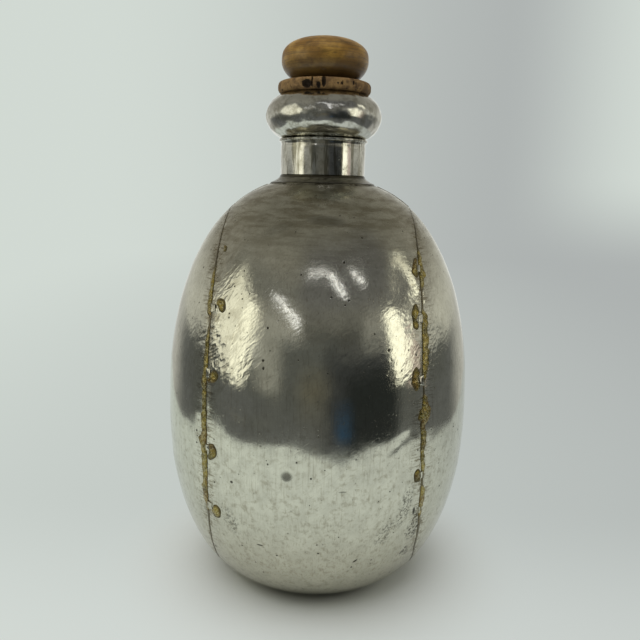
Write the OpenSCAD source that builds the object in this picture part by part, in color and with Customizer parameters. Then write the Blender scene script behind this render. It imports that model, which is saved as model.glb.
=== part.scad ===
// Egg-shaped flask of sheet metal with cramped and brazed seams, a bulbed neck,
// and a stopper of wood and cork. Millimetres, +Z up, origin at the centre of the
// base on the surface that the flask stands on. The front is towards -Y.

/* [Body] */
// Radius of the belly, where the body is widest
belly_r = 71.4; // [62:0.2:82]
// Height of the belly above the base
belly_z = 80.5; // [72:0.5:92]
// Rise from the belly to the crown, where the shoulder curve closes under the neck
crown_rise = 108.9; // [96:0.1:125]
// How far below the base the lower curve would close, which sets how wide the flat base is
base_cut = 4; // [2.5:0.1:7]
// Thickness of the sheet that the body is raised from
sheet = 1.2; // [0.8:0.1:1.8]
// Exponent of height in the shoulder curve, higher for a squarer shoulder
shoulder_rise_power = 2.18; // [2:0.01:2.5]
// Exponent of radius in the shoulder curve, higher for a flatter crown
shoulder_reach_power = 2.54; // [2.2:0.01:2.9]
// Exponent of height in the lower curve
lower_rise_power = 1.98; // [1.8:0.01:2.3]
// Exponent of radius in the lower curve, higher for a fuller foot
lower_reach_power = 3.6; // [3:0.05:4.2]

/* [Seams] */
// Distance from the middle of the flask to each side seam, at the belly
seam_half = 45.6; // [40:0.1:49]
// How far the side seams lean in by the height of the crown
seam_bow = 5.5; // [0:0.1:8]
// Width of the brazed line between two sheets
braze_w = 2; // [1.2:0.1:3]
// How far the braze stands proud of the sheet
braze_proud = 0.3; // [0.1:0.05:0.6]
// Width along the seam of a cramp, a tongue on a cap's edge that laps the panel
cramp_w = 3; // [2.2:0.1:4]
// How far a cramp reaches over the panel from the middle of the seam
cramp_reach = 3.8; // [3:0.1:4.8]
// How far back a cramp's root lies on its own cap from the middle of the seam
cramp_root = 3.8; // [3.4:0.1:5]
// Thickness of a cramp, hammered thinner than the sheet
cramp_t = 0.6; // [0.4:0.05:0.9]
// Radius of the spot of braze round the tip of a cramp
spot_r = 2.9; // [2.2:0.1:3.5]
// Gap between the flat side of a spot and the brazed line
spot_gap = 0.4; // [0.2:0.1:1]

/* [Neck] */
// Outer radius of the plain collar
neck_r = 19.5; // [18:0.1:22]
// Wall of the collar
collar_wall = 1; // [0.7:0.1:1.4]
// Wall of the neck tube inside the collar, which runs from the body to the mouth
tube_wall = 1; // [0.7:0.1:1.4]
// How far the neck tube stands down inside the body
tube_drop = 2.5; // [1.5:0.1:5]
// Height of the collar, from the foot ring to the bulb
collar_h = 16.3; // [12:0.1:22]
// How far the flared foot ring spreads out from the collar on the shoulder
foot_w = 4.5; // [3:0.1:7]
// Rise of the foot ring above the shoulder, where it meets the neck tube
foot_h = 2.3; // [1.8:0.1:4]
// Thickness of the foot ring's edge
foot_edge = 0.6; // [0.4:0.05:0.9]
// Width of the solder fillet round the foot ring
solder_w = 1.3; // [0.8:0.1:2]
// Height of the half-round bead at the top of the collar
bead_h = 1.5; // [1.1:0.1:2]
// How far the bead stands out from the collar
bead_proud = 0.8; // [0.5:0.05:1]
// How far the hollow bulb round the mouth stands out from the collar
bulb_out = 7; // [6:0.1:9]
// Radius of the bulb's round section
bulb_section_r = 9.9; // [9:0.1:11]
// Wall of the bulb
bulb_wall = 0.9; // [0.6:0.05:1.2]

/* [Stopper] */
// How far the cork washer stands out past the collar
washer_out = 1.7; // [0.5:0.1:3.5]
// Thickness of the cork washer
washer_h = 5; // [4:0.1:7]
// Rounding of the washer's rim
washer_round = 1.8; // [1:0.1:2.4]
// Radius of the knob
knob_r = 19.6; // [17.5:0.1:22]
// Height of the knob
knob_h = 19.4; // [17:0.1:26]
// Height of the knob's widest level above its underside
knob_waist = 8.9; // [8:0.1:12]
// Radius of the flat on the underside of the knob
knob_seat_r = 13; // [11:0.1:15]
// Exponent of the knob's upper curve, higher for a flatter top
knob_power = 2.8; // [2.2:0.05:3.4]
// Length of the tapered plug in the neck
plug_len = 28.5; // [20:0.5:32]
// How much narrower the plug's tip is than its top, on the radius
plug_taper = 2; // [1:0.1:4]
// Bevel round the plug's tip
plug_bevel = 1; // [0.5:0.1:1.5]
// Clearance between the top of the plug and the neck tube
plug_clear = 0.1; // [0.08:0.01:0.2]
// Radius of the peg that joins the knob to the plug
peg_r = 5; // [3.5:0.1:7]
// Depth of the peg in the knob
peg_in_knob = 12; // [8:0.5:14]
// Clearance between the peg and the washer's bore
peg_clear = 0.1; // [0.06:0.01:0.2]
// End play of the washer between the knob and the plug
washer_play = 0.1; // [0.06:0.01:0.2]

/* [Hidden] */
$fn = 128;

// Steps from the base to the crown in the body's profile
body_steps = 44;
// Steps in the outline of a side seam
seam_steps = 14;
// Steps in the knob's profile above and below its waist
knob_steps = 18;
// Steps in the quarter round of the washer's rim and of the foot ring's flare
round_steps = 6;
// Halvings when a point on the profile is looked for
halvings = 30;
// Overrun of every cut past the face that it goes through
over = 1;

// Heights of the cramps, as shares of the height from the base to the crown
left_cramp_shares = [0.265, 0.4, 0.575, 0.725, 0.84];
right_cramp_shares = [0.275, 0.36, 0.5, 0.575, 0.7, 0.8];
// Heights of the cramps that lap the inside of the panels, between the others
inner_cramp_shares = [0.32, 0.47, 0.65, 0.77];

crown_z = belly_z + crown_rise;
root_drop = belly_z + base_cut;
tube_r = neck_r - collar_wall;
mouth_r = tube_r - tube_wall;
foot_r = neck_r + foot_w;
collar_z = shoulder_z(tube_r) + foot_h;
collar_top = collar_z + collar_h;
bulb_ring_r = neck_r + bulb_out - bulb_section_r;
bulb_z = collar_top + leg(bulb_section_r, tube_r - bulb_ring_r);
mouth_top = bulb_z + bulb_section_r;
washer_r = neck_r + washer_out;
washer_z = mouth_top;
plug_top = washer_z - washer_play;
plug_tip = plug_top - plug_len;
plug_r = mouth_r - plug_clear;
plug_tip_r = plug_r - plug_taper;
knob_z = washer_z + washer_h + washer_play;
peg_top = knob_z + peg_in_knob;

steel = [0.56, 0.56, 0.54];
brass = [0.55, 0.44, 0.2];
solder = [0.45, 0.44, 0.4];
cork = [0.5, 0.37, 0.23];
wood = [0.42, 0.28, 0.14];

// The other short side of a right triangle
function leg(long, short) = sqrt(pow(long, 2) - pow(short, 2));

// Height of the shoulder curve at radius r
function shoulder_z(r) =
    belly_z + crown_rise
    * pow(1 - pow(r / belly_r, shoulder_reach_power), 1 / shoulder_rise_power);

// Point of the body's profile at the angle a, from -90 at the root to 90 at the crown
function profile(a) =
    let (
        up = a >= 0,
        rise = up ? crown_rise : -root_drop,
        rise_power = up ? shoulder_rise_power : lower_rise_power,
        reach_power = up ? shoulder_reach_power : lower_reach_power
    )
    [
        belly_r * pow(max(cos(a), 0), 2 / reach_power),
        belly_z + rise * pow(abs(sin(a)), 2 / rise_power),
    ];

// Outward normal of the profile at the angle a
function profile_normal(a) =
    let (
        up = a >= 0,
        rise = up ? crown_rise : root_drop,
        rise_power = up ? shoulder_rise_power : lower_rise_power,
        reach_power = up ? shoulder_reach_power : lower_reach_power,
        out = reach_power / belly_r * pow(max(cos(a), 0), 2 - 2 / reach_power),
        along = rise_power / rise * pow(abs(sin(a)), 2 - 2 / rise_power)
    )
    [out, up ? along : -along] / norm([out, along]);

// Point at the distance off outside the profile
function shell_point(a, off) = profile(a) + off * profile_normal(a);

// Angle between low and high at which the offset profile reaches the height z
function angle_at_z(z, off, low = -90, high = 90, left = halvings) =
    let (mid = (low + high) / 2)
    left == 0 ? mid
    : shell_point(mid, off).y < z ? angle_at_z(z, off, mid, high, left - 1)
    : angle_at_z(z, off, low, mid, left - 1);

// Angle above the belly at which the offset profile has drawn in to the radius r
function angle_at_r(r, off, low = 0, high = 90, left = halvings) =
    let (mid = (low + high) / 2)
    left == 0 ? mid
    : shell_point(mid, off).x > r ? angle_at_r(r, off, mid, high, left - 1)
    : angle_at_r(r, off, low, mid, left - 1);

// Offset profile from the floor that it stands on up to the radius top_r
function shell_line(off, top_r) =
    let (
        low = angle_at_z(max(0, -off), off),
        high = angle_at_r(top_r, off)
    )
    [for (i = [0:body_steps]) shell_point(low + (high - low) * i / body_steps, off)];

// Half the distance between the side seams at the height z
function seam_x(z) = seam_half - seam_bow * pow((z - belly_z) / crown_rise, 2);

function reversed(line) = [for (i = [len(line) - 1:-1:0]) line[i]];

// Skin of the body between two distances outside the profile, open at the neck
module skin(inside, outside) {
    inner = shell_line(inside, tube_r);
    outer = shell_line(outside, tube_r);
    base = [[0, max(0, -inside)], [0, max(0, -outside)]];
    rotate_extrude() polygon(concat(base, outer, reversed(inner)));
}

// Upright block between the lines x = seam_x + from and x = seam_x + to, on one side
module seam_block(side, from, to, y_low, y_high) {
    low = -sheet - over;
    high = crown_z + over;
    heights = [for (i = [0:seam_steps]) low + (high - low) * i / seam_steps];
    near = [for (z = heights) [side * (seam_x(z) + from), z]];
    far = [for (z = heights) [side * (seam_x(z) + to), z]];
    translate([0, y_high, 0]) rotate([90, 0, 0]) linear_extrude(y_high - y_low)
        polygon(concat(near, reversed(far)));
}

// Upright block between the two side seams, short of each by half a braze line
module panel_block(y_low, y_high) {
    low = -sheet - over;
    high = crown_z + over;
    heights = [for (i = [0:seam_steps]) low + (high - low) * i / seam_steps];
    edge = [for (z = heights) [seam_x(z) - braze_w / 2, z]];
    mirrored = [for (p = edge) [-p.x, p.y]];
    translate([0, y_high, 0]) rotate([90, 0, 0]) linear_extrude(y_high - y_low)
        polygon(concat(edge, reversed(mirrored)));
}

// Half of the band: a domed panel between the side seams
module panel(face) {
    reach = belly_r + over;
    intersection() {
        skin(-sheet, 0);
        panel_block(min(face * braze_w / 2, face * reach), max(face * braze_w / 2, face * reach));
    }
}

// Puts its children on a side seam at the height z: X outwards across the seam,
// Y along it and Z off the sheet. face is -1 for the front and 1 for the back.
module on_seam(side, face, z) {
    a = angle_at_z(z, 0);
    r = profile(a).x;
    x = seam_x(z);
    y = leg(r, x);
    n = profile_normal(a);
    off = [side * n.x * x / r, face * n.x * y / r, n.y];
    lean = [side, 0, 0] - side * off.x * off;
    across = lean / norm(lean);
    along = cross(off, across);
    multmatrix([
        [across.x, along.x, off.x, side * x],
        [across.y, along.y, off.y, face * y],
        [across.z, along.z, off.z, z],
        [0, 0, 0, 1],
    ]) children();
}

function cramp_shares(side) = side < 0 ? left_cramp_shares : right_cramp_shares;

// Blocks that cut the cramps of one cap out of a skin
module cramp_blocks(side, shares) {
    deep = sheet + 2 * cramp_t;
    for (share = shares)
        for (face = [-1, 1])
            on_seam(side, face, share * crown_z)
                translate([-cramp_reach, -cramp_w / 2, -deep])
                    cube([cramp_reach + cramp_root, cramp_w, 2 * deep]);
}

// Cramps of one cap between two distances outside the profile, each let into the
// cap's sheet at its root to half the sheet's thickness
module cramps(side, shares, low, high) {
    reach = belly_r + over;
    intersection() {
        skin(low, high);
        cramp_blocks(side, shares);
    }
    intersection() {
        skin(min(low, -sheet / 2), max(high, -sheet / 2));
        cramp_blocks(side, shares);
        seam_block(side, braze_w / 2, reach, -reach, reach);
    }
}

// Side cap with its cramps, which lap the panels outside and inside by turns
module cap(side) {
    reach = belly_r + over;
    intersection() {
        skin(-sheet, 0);
        seam_block(side, braze_w / 2, reach, -reach, reach);
    }
    cramps(side, cramp_shares(side), 0, cramp_t);
    cramps(side, inner_cramp_shares, -sheet - cramp_t, -sheet);
}

// Brass line that fills a side seam, all the way round the cap
module seam_braze(side) {
    reach = belly_r + over;
    difference() {
        intersection() {
            skin(-sheet, braze_proud);
            seam_block(side, -braze_w / 2, braze_w / 2, -reach, reach);
        }
        intersection() {
            skin(0, braze_proud + over);
            cramp_blocks(side, cramp_shares(side));
        }
    }
}

// D-shaped spots of brass round the tips of the outer cramps
module cramp_braze(side) {
    deep = sheet + cramp_t;
    reach = belly_r + over;
    difference() {
        intersection() {
            skin(0, cramp_t);
            for (share = cramp_shares(side))
                for (face = [-1, 1])
                    on_seam(side, face, share * crown_z)
                        translate([-cramp_reach, 0, -deep])
                            cylinder(r = spot_r, h = 2 * deep);
        }
        cramp_blocks(side, cramp_shares(side));
        seam_block(side, -braze_w / 2 - spot_gap, reach, -reach, reach);
    }
}

module front_panel() {
    color(steel) panel(-1);
}

module back_panel() {
    color(steel) panel(1);
}

module left_cap() {
    color(steel) cap(-1);
}

module right_cap() {
    color(steel) cap(1);
}

module left_seam_braze() {
    color(brass) seam_braze(-1);
}

module right_seam_braze() {
    color(brass) seam_braze(1);
}

module left_cramp_braze() {
    color(brass) cramp_braze(-1);
}

module right_cramp_braze() {
    color(brass) cramp_braze(1);
}

// Short brazed lines beside the neck, where the front and back panels meet
module shoulder_seam_braze() {
    color(brass) intersection() {
        union() {
            skin(-sheet, 0);
            difference() {
                skin(0, braze_proud);
                cylinder(r = foot_r + solder_w, h = crown_z + over);
            }
        }
        panel_block(-braze_w / 2, braze_w / 2);
        translate([-belly_r, -belly_r, belly_z])
            cube([2 * belly_r, 2 * belly_r, crown_rise + over]);
    }
}

// Brazed line across the base, filed flush with it
module base_seam_braze() {
    color(brass) intersection() {
        skin(-sheet, braze_proud);
        panel_block(-braze_w / 2, braze_w / 2);
        translate([-belly_r, -belly_r, -over])
            cube([2 * belly_r, 2 * belly_r, belly_z]);
    }
}

// Solid body out to its sheet, for cutting what sits on the shoulder
module body_form() {
    line = shell_line(0, tube_r);
    rotate_extrude() polygon(concat([[0, 0]], line, [[0, line[body_steps].y]]));
}

// Tube from inside the body to the mouth, which carries all of the neck's rings
module neck_tube() {
    bevel = tube_wall / 3;
    low = shoulder_z(tube_r) - sheet - tube_drop;
    color(steel) rotate_extrude() polygon([
        [mouth_r, low],
        [tube_r, low],
        [tube_r, mouth_top - bevel],
        [tube_r - bevel, mouth_top],
        [mouth_r, mouth_top],
    ]);
}

// Flared ring at the foot of the neck, seated on the shoulder
module neck_foot() {
    flare_h = collar_z - foot_edge - shoulder_z(neck_r);
    flare = [
        for (i = [0:round_steps])
            let (a = 90 * i / round_steps, r = foot_r - foot_w * sin(a))
            [r, shoulder_z(r) + foot_edge + flare_h * (1 - cos(a))]
    ];
    color(steel) difference() {
        rotate_extrude() polygon(concat(
            [[tube_r, shoulder_z(foot_r) - sheet], [foot_r, shoulder_z(foot_r) - sheet]],
            flare,
            [[tube_r, collar_z]]
        ));
        body_form();
    }
}

// Fillet of solder round the edge of the foot ring
module foot_solder() {
    outer_r = foot_r + solder_w;
    color(solder) difference() {
        rotate_extrude() polygon([
            [foot_r, shoulder_z(foot_r) - sheet],
            [outer_r, shoulder_z(outer_r) - sheet],
            [outer_r, shoulder_z(outer_r)],
            [foot_r, shoulder_z(foot_r) + foot_edge],
        ]);
        body_form();
    }
}

module neck_collar() {
    bevel = collar_wall / 3;
    color(steel) rotate_extrude() polygon([
        [tube_r, collar_z],
        [neck_r - bevel, collar_z],
        [neck_r, collar_z + bevel],
        [neck_r, collar_top],
        [tube_r, collar_top],
    ]);
}

// Half-round bead round the top of the collar
module neck_bead() {
    color(steel) rotate_extrude() intersection() {
        translate([neck_r + bead_proud - bead_h / 2, collar_top - bead_h / 2])
            circle(d = bead_h);
        translate([neck_r, collar_top - bead_h]) square([bead_proud, bead_h]);
    }
}

// Hollow bulb: the outer part of a round tube bent to a ring round the neck tube
module mouth_bulb() {
    color(steel) rotate_extrude() difference() {
        translate([bulb_ring_r, bulb_z]) difference() {
            circle(r = bulb_section_r);
            circle(r = bulb_section_r - bulb_wall);
        }
        square([tube_r, mouth_top + over]);
    }
}

// Cork disc between the knob and the mouth, loose on the peg
module cork_washer() {
    low = [
        for (i = [0:round_steps])
            let (a = 90 * i / round_steps)
            [washer_r - washer_round * (1 - sin(a)), washer_z + washer_round * (1 - cos(a))]
    ];
    high = [for (p = reversed(low)) [p.x, 2 * washer_z + washer_h - p.y]];
    bore_r = peg_r + peg_clear;
    color(cork) rotate_extrude() polygon(concat(
        [[bore_r, washer_z]], low, high, [[bore_r, washer_z + washer_h]]
    ));
}

// Turned knob with a blind bore for the peg
module stopper_knob() {
    waist_z = knob_z + knob_waist;
    upper_h = knob_h - knob_waist;
    lower_h = knob_waist / sqrt(1 - pow(knob_seat_r / knob_r, 2));
    low_angle = -asin(knob_waist / lower_h);
    lower = [
        for (i = [0:knob_steps - 1])
            let (a = low_angle * (1 - i / knob_steps))
            [knob_r * cos(a), waist_z + lower_h * sin(a)]
    ];
    upper = [
        for (i = [0:knob_steps])
            let (a = 90 * i / knob_steps)
            [knob_r * cos(a), waist_z + upper_h * pow(sin(a), 2 / knob_power)]
    ];
    color(wood) rotate_extrude() polygon(concat(
        [[peg_r, knob_z]], lower, upper, [[0, peg_top], [peg_r, peg_top]]
    ));
}

// Peg through the washer, tight in the knob and the plug
module stopper_peg() {
    color(wood) translate([0, 0, plug_tip]) cylinder(r = peg_r, h = peg_top - plug_tip);
}

// Tapered cork plug, bored through for the peg
module stopper_plug() {
    color(cork) rotate_extrude() polygon([
        [peg_r, plug_tip],
        [plug_tip_r - plug_bevel, plug_tip],
        [plug_tip_r, plug_tip + plug_bevel],
        [plug_r, plug_top],
        [peg_r, plug_top],
    ]);
}

front_panel();
back_panel();
left_cap();
right_cap();
left_seam_braze();
right_seam_braze();
left_cramp_braze();
right_cramp_braze();
shoulder_seam_braze();
base_seam_braze();
neck_tube();
neck_foot();
foot_solder();
neck_collar();
neck_bead();
mouth_bulb();
cork_washer();
stopper_knob();
stopper_peg();
stopper_plug();
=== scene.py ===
"""Looks of an egg-shaped flask of sheet metal, with brazed side seams and a stopper of wood and cork.

Lengths are in metres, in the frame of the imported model: +Z up, the front towards -Y. A seam's own flat
frame has X across the seam towards the panel, Y up the seam and Z off the sheet.
"""

import bisect
import logging
import math
from collections.abc import Callable, Iterable, Iterator, Sequence
from contextlib import contextmanager
from dataclasses import dataclass, field
from enum import Enum

import bpy
from mathutils import Matrix, Vector, noise


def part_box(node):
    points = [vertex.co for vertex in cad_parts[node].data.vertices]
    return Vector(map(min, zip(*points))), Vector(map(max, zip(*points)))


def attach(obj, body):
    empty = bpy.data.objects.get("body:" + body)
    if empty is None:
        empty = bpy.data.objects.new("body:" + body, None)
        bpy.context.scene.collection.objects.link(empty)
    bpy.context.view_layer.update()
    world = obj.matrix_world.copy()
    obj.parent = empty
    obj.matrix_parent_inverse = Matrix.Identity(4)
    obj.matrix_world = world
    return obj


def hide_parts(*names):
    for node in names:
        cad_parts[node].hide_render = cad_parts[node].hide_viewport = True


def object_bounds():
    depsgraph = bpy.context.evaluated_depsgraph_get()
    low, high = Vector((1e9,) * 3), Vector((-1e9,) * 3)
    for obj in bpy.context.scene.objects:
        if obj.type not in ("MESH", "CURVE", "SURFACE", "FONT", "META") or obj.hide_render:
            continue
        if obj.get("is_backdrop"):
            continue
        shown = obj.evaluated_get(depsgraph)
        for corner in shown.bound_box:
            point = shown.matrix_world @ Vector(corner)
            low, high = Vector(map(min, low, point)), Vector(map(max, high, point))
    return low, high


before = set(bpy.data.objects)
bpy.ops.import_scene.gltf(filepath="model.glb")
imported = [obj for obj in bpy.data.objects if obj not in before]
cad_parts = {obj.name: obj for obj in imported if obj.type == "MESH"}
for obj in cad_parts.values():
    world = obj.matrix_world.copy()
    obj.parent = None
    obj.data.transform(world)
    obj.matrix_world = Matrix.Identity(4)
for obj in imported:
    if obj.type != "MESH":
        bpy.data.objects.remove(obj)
cad_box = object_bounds()
log = logging.getLogger("flask")

MM = 0.001
DOUBLED = 0.001 * MM
Colour = tuple[float, float, float]
Piece = bpy.types.Object


class Side(Enum):
    """The two ends of the flask's X axis."""

    LEFT = -1
    RIGHT = 1


class Face(Enum):
    """The two ends of the flask's Y axis."""

    FRONT = -1
    BACK = 1


class Slot(Enum):
    """Material slots of the record."""

    METAL = "sheet_metal"
    BRAZE = "braze"
    SOLDER = "solder"
    WOOD = "wood"
    CORK = "cork"


def smoothstep(value: float, low: float, high: float) -> float:
    """Smooth ramp from 0 at low to 1 at high, or a falling one where low is above high."""
    share = min(max((value - low) / (high - low), 0.0), 1.0)
    return share * share * (3 - 2 * share)


def ripple(point: Vector, wavelength: float, seed: float = 0.0) -> float:
    """Smooth random waves in space, from about -1 to 1. The seed moves the pattern."""
    return noise.noise(point / wavelength + Vector((seed, seed * 0.37, -seed)))


def hammer_marks(point: Vector, size: float) -> float:
    """Scallops of a planishing hammer, 0 in their middles and about 1 on their ridges."""
    distances, _ = noise.voronoi(point / size)
    return min(distances[0] ** 2 * 1.6, 1.0)


def swell(point: Vector, wavelength: float, seed: float = 0.0) -> float:
    """The same waves as ripple's, from about 0 to 1."""
    return 0.5 + 0.5 * ripple(point, wavelength, seed)


def from_axis(point: Vector) -> float:
    """Distance of a point from the flask's axis."""
    return math.hypot(point.x, point.y)


def drawn_in(point: Vector, inward: float) -> Vector:
    """A point moved towards the flask's axis."""
    scale = 1 - inward / max(from_axis(point), MM)
    return Vector((point.x * scale, point.y * scale, point.z))


def shares(steps: int) -> list[float]:
    """Numbers from 0 to 1 in equal steps."""
    return [step / steps for step in range(steps + 1)]


def eased(stops: Sequence[tuple[float, float]], place: float) -> float:
    """Value at a place, between stops that each pair a place with a value."""
    last = min(max(bisect.bisect_right([stop[0] for stop in stops], place), 1), len(stops) - 1)
    (low, before), (high, after) = stops[last - 1], stops[last]
    return before + (after - before) * smoothstep(place, low, high)


class Bench:
    """Modelling steps that all the pieces share."""

    @staticmethod
    def clear() -> None:
        """Deselects everything, because an operator acts on all that is selected."""
        bpy.ops.object.select_all(action="DESELECT")

    @staticmethod
    def take(piece: Piece) -> None:
        """Makes one piece the only selected and active object."""
        Bench.clear()
        piece.select_set(True)
        bpy.context.view_layer.objects.active = piece

    @staticmethod
    def name_new(name: str) -> Piece:
        """Names the primitive that was just added, and returns it."""
        piece = bpy.context.active_object
        piece.name = name
        piece.data.name = name
        return piece

    @staticmethod
    def wrapped_sheet(
        name: str,
        columns: int,
        rows: int,
        place: Callable[[float, float], Vector],
        stored: dict[str, Callable[[float, float], float]] | None = None,
    ) -> Piece:
        """Lays a flat grid over a surface.

        Args:
            name: Name of the new piece.
            columns: Number of faces across.
            rows: Number of faces up.
            place: Gives the place of a grid point from its shares across and up.
            stored: For each number that a finish reads, gives it from the same shares.

        Returns:
            The new piece, with doubled points merged.
        """
        Bench.clear()
        bpy.ops.mesh.primitive_grid_add(x_subdivisions=columns, y_subdivisions=rows, size=1)
        piece = Bench.name_new(name)
        places = [(v.co.x + 0.5, v.co.y + 0.5) for v in piece.data.vertices]
        for attribute, value in (stored or {}).items():
            numbers = piece.data.attributes.new(attribute, "FLOAT", "POINT")
            numbers.data.foreach_set("value", [value(*shared) for shared in places])
        for vertex, shared in zip(piece.data.vertices, places):
            vertex.co = place(*shared)
        Bench.weld(piece)
        return piece

    @staticmethod
    @contextmanager
    def editing() -> Iterator[None]:
        """Edit mode on the active piece, with all of it selected at the start."""
        bpy.ops.object.mode_set(mode="EDIT")
        bpy.ops.mesh.select_all(action="SELECT")
        yield
        bpy.ops.object.mode_set(mode="OBJECT")

    @staticmethod
    def weld(piece: Piece, solid: bool = False) -> None:
        """Merges doubled points, and turns a solid's faces outwards."""
        Bench.take(piece)
        with Bench.editing():
            bpy.ops.mesh.remove_doubles(threshold=DOUBLED)
            if solid:
                bpy.ops.mesh.normals_make_consistent(inside=False)

    @staticmethod
    def face_away(piece: Piece, centre: Vector) -> None:
        """Turns an open sheet's faces away from a point."""
        lean = sum(p.normal.dot(p.center - centre) * p.area for p in piece.data.polygons)
        if lean < 0:
            Bench.take(piece)
            with Bench.editing():
                bpy.ops.mesh.flip_normals()

    @staticmethod
    def turned(
        name: str, outline: Sequence[tuple[float, float]], closed: bool = True, steps: int = 144
    ) -> Piece:
        """Draws half of a section point by point and spins it round the flask's axis.

        Args:
            name: Name of the new piece.
            outline: Radius and height of each point.
            closed: True where the last point is joined to the first.
            steps: Number of faces round the axis.

        Returns:
            The new piece.
        """
        points = [Vector((r, 0, z)) for r, z in outline]
        if closed:
            points.append(points[0])
        Bench.clear()
        bpy.ops.mesh.primitive_plane_add(size=MM, location=(0, 0, 0))
        piece = Bench.name_new(name)
        with Bench.editing():
            bpy.ops.mesh.merge(type="CENTER")
            bpy.ops.transform.translate(value=points[0])
            for start, end in zip(points, points[1:]):
                bpy.ops.mesh.extrude_region_move(TRANSFORM_OT_translate={"value": end - start})
            bpy.ops.mesh.select_all(action="SELECT")
            bpy.ops.mesh.spin(steps=steps, angle=math.tau, center=(0, 0, 0), axis=(0, 0, 1))
        Bench.weld(piece, solid=True)
        return piece

    @staticmethod
    def plate(name: str, size: Vector, centre: Vector, cuts: int = 7) -> Piece:
        """A small bevelled plate, cut fine enough to be bent over the body.

        Args:
            name: Name of the new piece.
            size: Lengths along X, Y and Z.
            centre: Place of the plate's middle.
            cuts: Number of cuts along each edge.

        Returns:
            The new piece.
        """
        Bench.clear()
        bpy.ops.mesh.primitive_cube_add(size=1, location=(0, 0, 0))
        piece = Bench.name_new(name)
        with Bench.editing():
            bpy.ops.transform.resize(value=size)
            bpy.ops.mesh.bevel(offset=min(size) * 0.3, segments=2, affect="EDGES")
            bpy.ops.mesh.select_all(action="SELECT")
            bpy.ops.mesh.subdivide(number_cuts=cuts)
            bpy.ops.mesh.select_all(action="SELECT")
            bpy.ops.transform.translate(value=centre)
        return piece

    @staticmethod
    def pebble(name: str, radii: Vector, centre: Vector, floor: float) -> Piece:
        """A flattened dome, cut flat below.

        Args:
            name: Name of the new piece.
            radii: Half lengths along X, Y and Z.
            centre: Place of the dome's middle.
            floor: Height, under the middle, at which it is cut and closed.

        Returns:
            The new piece.
        """
        Bench.clear()
        bpy.ops.mesh.primitive_uv_sphere_add(segments=36, ring_count=22, radius=1)
        piece = Bench.name_new(name)
        cut = {"plane_co": (0, 0, -floor), "plane_no": (0, 0, 1)}
        with Bench.editing():
            bpy.ops.transform.resize(value=radii)
            bpy.ops.mesh.select_all(action="SELECT")
            bpy.ops.mesh.bisect(**cut, clear_inner=True, use_fill=True)
            bpy.ops.mesh.select_all(action="SELECT")
            bpy.ops.transform.translate(value=centre)
        return piece

    @staticmethod
    def knead(piece: Piece, move: Callable[[Vector], Vector]) -> Piece:
        """Moves each point of a mesh to where a function puts it, and returns the piece."""
        for vertex in piece.data.vertices:
            vertex.co = move(vertex.co.copy())
        piece.data.update()
        return piece

    @staticmethod
    def thicken(piece: Piece, wall: float) -> None:
        """Gives a sheet its wall, inwards, and closes its edges."""
        Bench.take(piece)
        modifier = piece.modifiers.new("wall", "SOLIDIFY")
        modifier.thickness = wall
        modifier.offset = -1
        bpy.ops.object.modifier_apply(modifier=modifier.name)

    @staticmethod
    def measure(
        piece: Piece, attribute: str, value: Callable[[Vector], float]
    ) -> None:
        """Stores a number on each point, given by the point's place, for a finish to read."""
        stored = piece.data.attributes.new(attribute, "FLOAT", "POINT")
        stored.data.foreach_set("value", [value(v.co) for v in piece.data.vertices])

    @staticmethod
    def join(pieces: Sequence[Piece], name: str) -> Piece:
        """Makes several objects one, under a new name. The first object stays."""
        Bench.clear()
        for piece in pieces:
            piece.select_set(True)
        bpy.context.view_layer.objects.active = pieces[0]
        if len(pieces) > 1:
            bpy.ops.object.join()
        return Bench.name_new(name)

    @staticmethod
    def smooth(piece: Piece, angle: float = 40.0) -> Piece:
        """Smooths the shading across edges flatter than an angle in degrees, and returns the piece."""
        Bench.take(piece)
        bpy.ops.object.shade_smooth_by_angle(angle=math.radians(angle))
        return piece


def operator(name: str, flipped: bool = False) -> Callable[..., "Wire"]:
    """Makes Wire's method for one operation, with the operands swapped where it is flipped."""

    def apply(wire: "Wire", *others: "Wire | float") -> "Wire":
        """Result of the operation, as a wire."""
        return wire.maths(name, *((*others, wire) if flipped else (wire, *others)))

    return apply


class Wire:
    """A shader socket that takes part in sums, so that shader maths reads as an expression."""

    def __init__(self, recipe: "Recipe", socket: bpy.types.NodeSocket) -> None:
        """Wraps an output socket of a recipe's node."""
        self.recipe = recipe
        self.socket = socket

    def maths(self, operation: str, *values: "Wire | float") -> "Wire":
        """Adds a Math node for one operation, and returns its result."""
        node = self.recipe.add(
            "ShaderNodeMath", {"operation": operation}, dict(enumerate(values))
        )
        return Wire(self.recipe, node.outputs[0])

    __add__, __radd__ = operator("ADD"), operator("ADD", flipped=True)
    __sub__, __rsub__ = operator("SUBTRACT"), operator("SUBTRACT", flipped=True)
    __mul__, __rmul__ = operator("MULTIPLY"), operator("MULTIPLY", flipped=True)
    __truediv__, __pow__, __abs__ = operator("DIVIDE"), operator("POWER"), operator("ABSOLUTE")
    at_least, at_most = operator("MAXIMUM"), operator("MINIMUM")

    def ramp(self, low: float, high: float) -> "Wire":
        """Smooth ramp from 0 at low to 1 at high, or falling where low is above high."""
        start, end = (low, high) if low < high else (high, low)
        node = self.recipe.add(
            "ShaderNodeMapRange",
            {"interpolation_type": "SMOOTHSTEP", "clamp": True},
            {"Value": self, "From Min": start, "From Max": end, "To Min": 0.0, "To Max": 1.0},
        )
        rising = Wire(self.recipe, node.outputs["Result"])
        return rising if low < high else 1 - rising


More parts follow.
